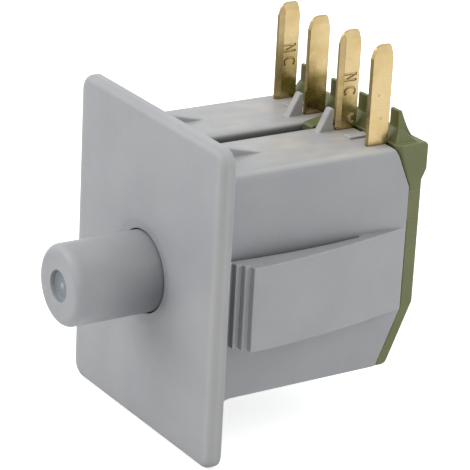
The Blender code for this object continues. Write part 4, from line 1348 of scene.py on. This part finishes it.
def plunger_nylon(*colours):
    """The plunger's nylon, with painted shade low down where it leaves the plate and in its dimple."""
    shader = Nylon(*colours)
    y, tip = shader.along("Y"), PLUNGER_LOW.y
    # Painted shade on the low side near the plate
    near_plate = shader.spread(y, tip + PLUNGER_SHADE_START, -PLATE_THICKNESS - PLUNGER_SHADE_END)
    low_side = shader.spread(shader.facing(PLUNGER_LOW_SIDE), 0.25, 0.9, 0, 0.75)
    shader.lay(PLUNGER_SHADE, near_plate, low_side)
    centre = (PLUNGER_AXIS[0], tip + DIMPLE_DEPTH, PLUNGER_AXIS[2])
    # Painted shade on the dimple's floor
    by_dimple = shader.spot(centre, 1.15 * DIMPLE_RADIUS)
    shader.lay(DIMPLE_FLOOR_SHADE, by_dimple, shader.spread(y, tip + DIMPLE_ROUND, tip + 2 * DIMPLE_ROUND))
    # Painted shade on the dimple's upper wall
    upper_wall = shader.spread(shader.facing(DIMPLE_UPPER_WALL), 0.3, 0.9, 0, 0.85)
    shader.lay(DIMPLE_SHADE, upper_wall, by_dimple)
    shader.lay(GATE_TINT, shader.spot(centre, GATE_RADIUS))
    return shader.done()


def olive_nylon(*colours):
    """The cover's nylon, with clouds of a yellower green and a shaded tongue and fin fronts."""
    shader = Nylon(*colours)
    shader.lay(OLIVE_CLOUD, shader.spread(shader.noise(260, 3), 0.5, 0.7, 0, 0.5))
    on_fins = shader.spread(shader.along("Z"), RIDGE_TOP, RIDGE_TOP + TINT_BORDER)
    front = shader.spread(shader.facing(FORWARD), 0.8, 0.99, 0, 0.75)
    shader.lay(FIN_SHADE, on_fins, front)
    on_tongue = shader.spread(shader.along("Y"), BLADE_FRONT, BLADE_FRONT + TONGUE_TINT_FADE, 0.65, 0)
    shader.lay(TONGUE_SHADE, on_tongue)
    return shader.done()


def brass(name, low_darkness, low_darkness_top):
    """Stamped brass: rolled grain along the blade, dark edges, a darker lower part that is partly tarnished
    metal and partly painted reflection of the dark parts round the blade, painted shade on forward faces and
    in hollows, and a painted glint on the burr.
    """
    shader = Shader(name, 0.3, 1.0)
    z = shader.along("Z")
    stains = shader.spread(shader.noise(BRASS_STAINS, 5), 0.42, 0.68)
    rolled = shader.noise(1.0, 3, shader.stretched(ROLLED_STRETCH))
    tint = shader.mix(stains, BRASS_LIGHT, BRASS_STAIN)
    tint = shader.mix(shader.spread(rolled, 0.3, 0.7, 0.0, 0.22), tint, BRASS_GRAIN)
    # Darker lower part: partly tarnished metal and partly painted reflection of the dark parts round the
    # blade, with a wavering top, and less dark just above the body
    uneven = shader.spread(shader.noise(BRASS_CLOUDS, 4), 0, 1, -LOWER_DARKENING_WAVE, LOWER_DARKENING_WAVE)
    height = shader.math("ADD", z, uneven)
    low = shader.spread(height, low_darkness_top - LOWER_DARKENING_FADE, low_darkness_top, low_darkness, 0)
    foot = shader.spread(height, *(BODY_TOP + rise for rise in LOWER_DARKENING_FOOT), 0.4, 1)
    tint = shader.mix(shader.product(low, foot), tint, BRASS_TARNISH_AND_REFLECTION)
    # Painted shade on faces that look forward, such as the blades' cut front edges
    front = shader.spread(shader.facing(FORWARD), 0.4, 1.0, 0, 0.7)
    tint = shader.mix(front, tint, BRASS_FRONT_SHADE)
    tint = shader.mix(shader.product(shader.edges(BRASS_DARK_EDGE), 0.8), tint, BRASS_EDGE)
    # Painted shade in narrow hollows, such as the stamped letters
    tint = shader.mix(shader.hollows(BRASS_SHADE_REACH, 0.3, 0.9), BRASS_HOLLOW_SHADE, tint)
    for place, radius in BLADE_SPOTS:
        tint = shader.mix(shader.product(shader.spot(place, radius), 0.35), tint, SPOT_SHADE)
    # Painted glint on the raised curl of the burr
    burr = (BLADE_CENTRES[BURR_BLADE] + BLADE_THICKNESS / 2 + BURR_HEIGHT, *BURR_PLACE)
    raised = shader.spread(shader.along("X"), burr[0] - 0.7 * BURR_HEIGHT, burr[0] - 0.4 * BURR_HEIGHT)
    tint = shader.mix(shader.product(raised, shader.spot(burr, BURR_GLINT_RADIUS)), tint, BURR_GLINT)
    shader.set("Base Color", tint)
    shader.set("Roughness", shader.spread(shader.noise(BRASS_GLOSS, 4), 0.3, 0.7, 0.22, 0.34))
    normal = shader.bump(rolled, ROLLED_DEPTH, shader.soft_edges(BRASS_SOFT_EDGE))
    shader.set("Normal", shader.bump(shader.noise(BRASS_WAVES, 2), WAVE_DEPTH, normal))
    return shader.material


def plain_metal(name, colour, dark, roughness):
    """Worked metal with a fine uneven polish."""
    shader = Shader(name, roughness, 1.0)
    tone = shader.spread(shader.noise(METAL_TONE, 4), 0.35, 0.65)
    shader.set("Base Color", shader.mix(tone, dark, colour))
    polish = roughness - 0.06, roughness + 0.08
    shader.set("Roughness", shader.spread(shader.noise(METAL_POLISH, 2), 0.3, 0.7, *polish))
    shader.set("Normal", shader.bump(shader.noise(METAL_SCRATCHES, 2), METAL_SCRATCH_DEPTH))
    return shader.material


def make_camera():
    """The camera at the photograph's viewing angle."""
    data = bpy.data.cameras.new("camera")
    data.sensor_width = 36
    data.lens = CAMERA_LENS
    data.clip_start = 0.01
    data.clip_end = 10
    camera = place_object("camera", data)
    camera.location = CAMERA_PLACE
    camera.rotation_euler = [math.radians(angle) for angle in CAMERA_ANGLES]
    bpy.context.scene.camera = camera


def either(tree, *rays):
    """1 for a ray of any of the given kinds."""
    first = rays[0]
    for other in rays[1:]:
        first = add_node(tree, "Math", {0: first, 1: other}, operation="MAXIMUM")[0]
    return first


def make_world():
    """A plain world whose soft light comes mostly from one side, and white where it is seen."""
    world = bpy.data.worlds.new("world")
    bpy.context.scene.world = world
    world.use_nodes = True
    tree = world.node_tree
    tree.nodes.clear()
    rays = add_node(tree, "LightPath", {})
    sides = {0: add_node(tree, "TexCoord", {})["Generated"], 1: Vector(SKY_BRIGHT_SIDE).normalized()}
    facing = add_node(tree, "VectorMath", sides, operation="DOT_PRODUCT")["Value"]
    limits = {"From Min": -SKY_SPREAD, "From Max": SKY_SPREAD, "To Min": SKY_DIMMEST, "To Max": SKY_BRIGHTEST}
    amount = add_node(tree, "MapRange", {"Value": facing, **limits}, interpolation_type="SMOOTHSTEP")[0]
    light = add_node(tree, "Background", {"Color": SKY_COLOUR, "Strength": amount})[0]
    white = add_node(tree, "Background", {"Color": (1, 1, 1, 1), "Strength": 1.0})[0]
    seen = either(tree, rays["Is Camera Ray"], rays["Is Glossy Ray"], rays["Is Transmission Ray"])
    mix = add_node(tree, "MixShader", {0: seen, 1: light, 2: white})[0]
    add_node(tree, "OutputWorld", {0: mix})


def make_floor():
    """The pale floor that the plate's lower edge stands on, white where it is seen unshaded."""
    mesh = bmesh.new()
    bmesh.ops.create_circle(mesh, cap_ends=True, segments=96, radius=FLOOR_RADIUS)
    for vert in mesh.verts:
        vert.co.z = HOUSING_LOW.z
    floor = link("floor", mesh)
    material = bpy.data.materials.new("floor")
    material.use_nodes = True
    tree = material.node_tree
    tree.nodes.clear()
    rays = add_node(tree, "LightPath", {})
    matt = add_node(tree, "BsdfDiffuse", {"Color": FLOOR_COLOUR})[0]
    strength = add_node(tree, "Math", {0: rays["Is Camera Ray"], 1: FLOOR_GLOW}, operation="MULTIPLY")[0]
    glow = add_node(tree, "Emission", {"Strength": strength})[0]
    both = add_node(tree, "AddShader", {0: matt, 1: glow})[0]
    y = add_node(tree, "SeparateXYZ", {0: add_node(tree, "NewGeometry", {})["Position"]})["Y"]
    limits = {"From Min": MIRROR_FRONT, "From Max": MIRROR_REAR}
    glows = {"To Min": MIRROR_FRONT_GLOW, "To Max": MIRROR_REAR_GLOW}
    amount = add_node(tree, "MapRange", {"Value": y, **limits, **glows})[0]
    mirrored = add_node(tree, "Emission", {"Strength": amount})[0]
    reflected = either(tree, rays["Is Glossy Ray"], rays["Is Transmission Ray"])
    choice = add_node(tree, "MixShader", {0: reflected, 1: both, 2: mirrored})[0]
    add_node(tree, "OutputMaterial", {0: choice})
    floor.data.materials.append(material)


def make_lamp(name, place, size, energy, colour):
    """A round soft lamp that points at the switch."""
    data = bpy.data.lights.new(name, "AREA")
    data.shape = "DISK"
    data.size = size
    data.energy = energy
    data.color = colour
    lamp = place_object(name, data)
    lamp.location = place
    lamp.rotation_euler = (-Vector(place)).to_track_quat("-Z", "Y").to_euler()


def main():
    bpy.context.scene.view_settings.view_transform = "Standard"
    make_camera()
    make_world()
    make_floor()
    for lamp in LAMPS:
        make_lamp(*lamp)

    copper = plain_metal("bridge_copper", *COPPER)
    silver = plain_metal("contact_silver", *SILVER)
    steel = plain_metal("spring_steel", *STEEL)

    make_housing(housing_nylon("grey_nylon", *GREYS))
    make_cover(olive_nylon("olive_nylon", *OLIVES))
    make_plunger(plunger_nylon("plunger_nylon", *GREYS))
    for index, (low_darkness, top) in enumerate(LOWER_DARKENING):
        make_terminal(index, brass(f"brass_{index + 1}", low_darkness, top))
        make_rivet(f"fixed_contact_{index + 1}", FIXED_BOXES[index], 1, "switch_body", silver)
        make_rivet(f"moving_contact_{index + 1}", MOVING_BOXES[index], -1, "plunger_body", silver)
    for index in range(len(BRIDGE_BOXES)):
        make_bridge(index, copper)
        node = f"contact_spring_{index + 1}"
        make_spring(node, CONTACT_SPRING_WIRE, CONTACT_SPRING_TURNS, "plunger_body", steel)
    squash_return_spring(make_spring("return_spring", SPRING_WIRE, SPRING_TURNS, "switch_body", steel))

    bpy.context.view_layer.update()


main()
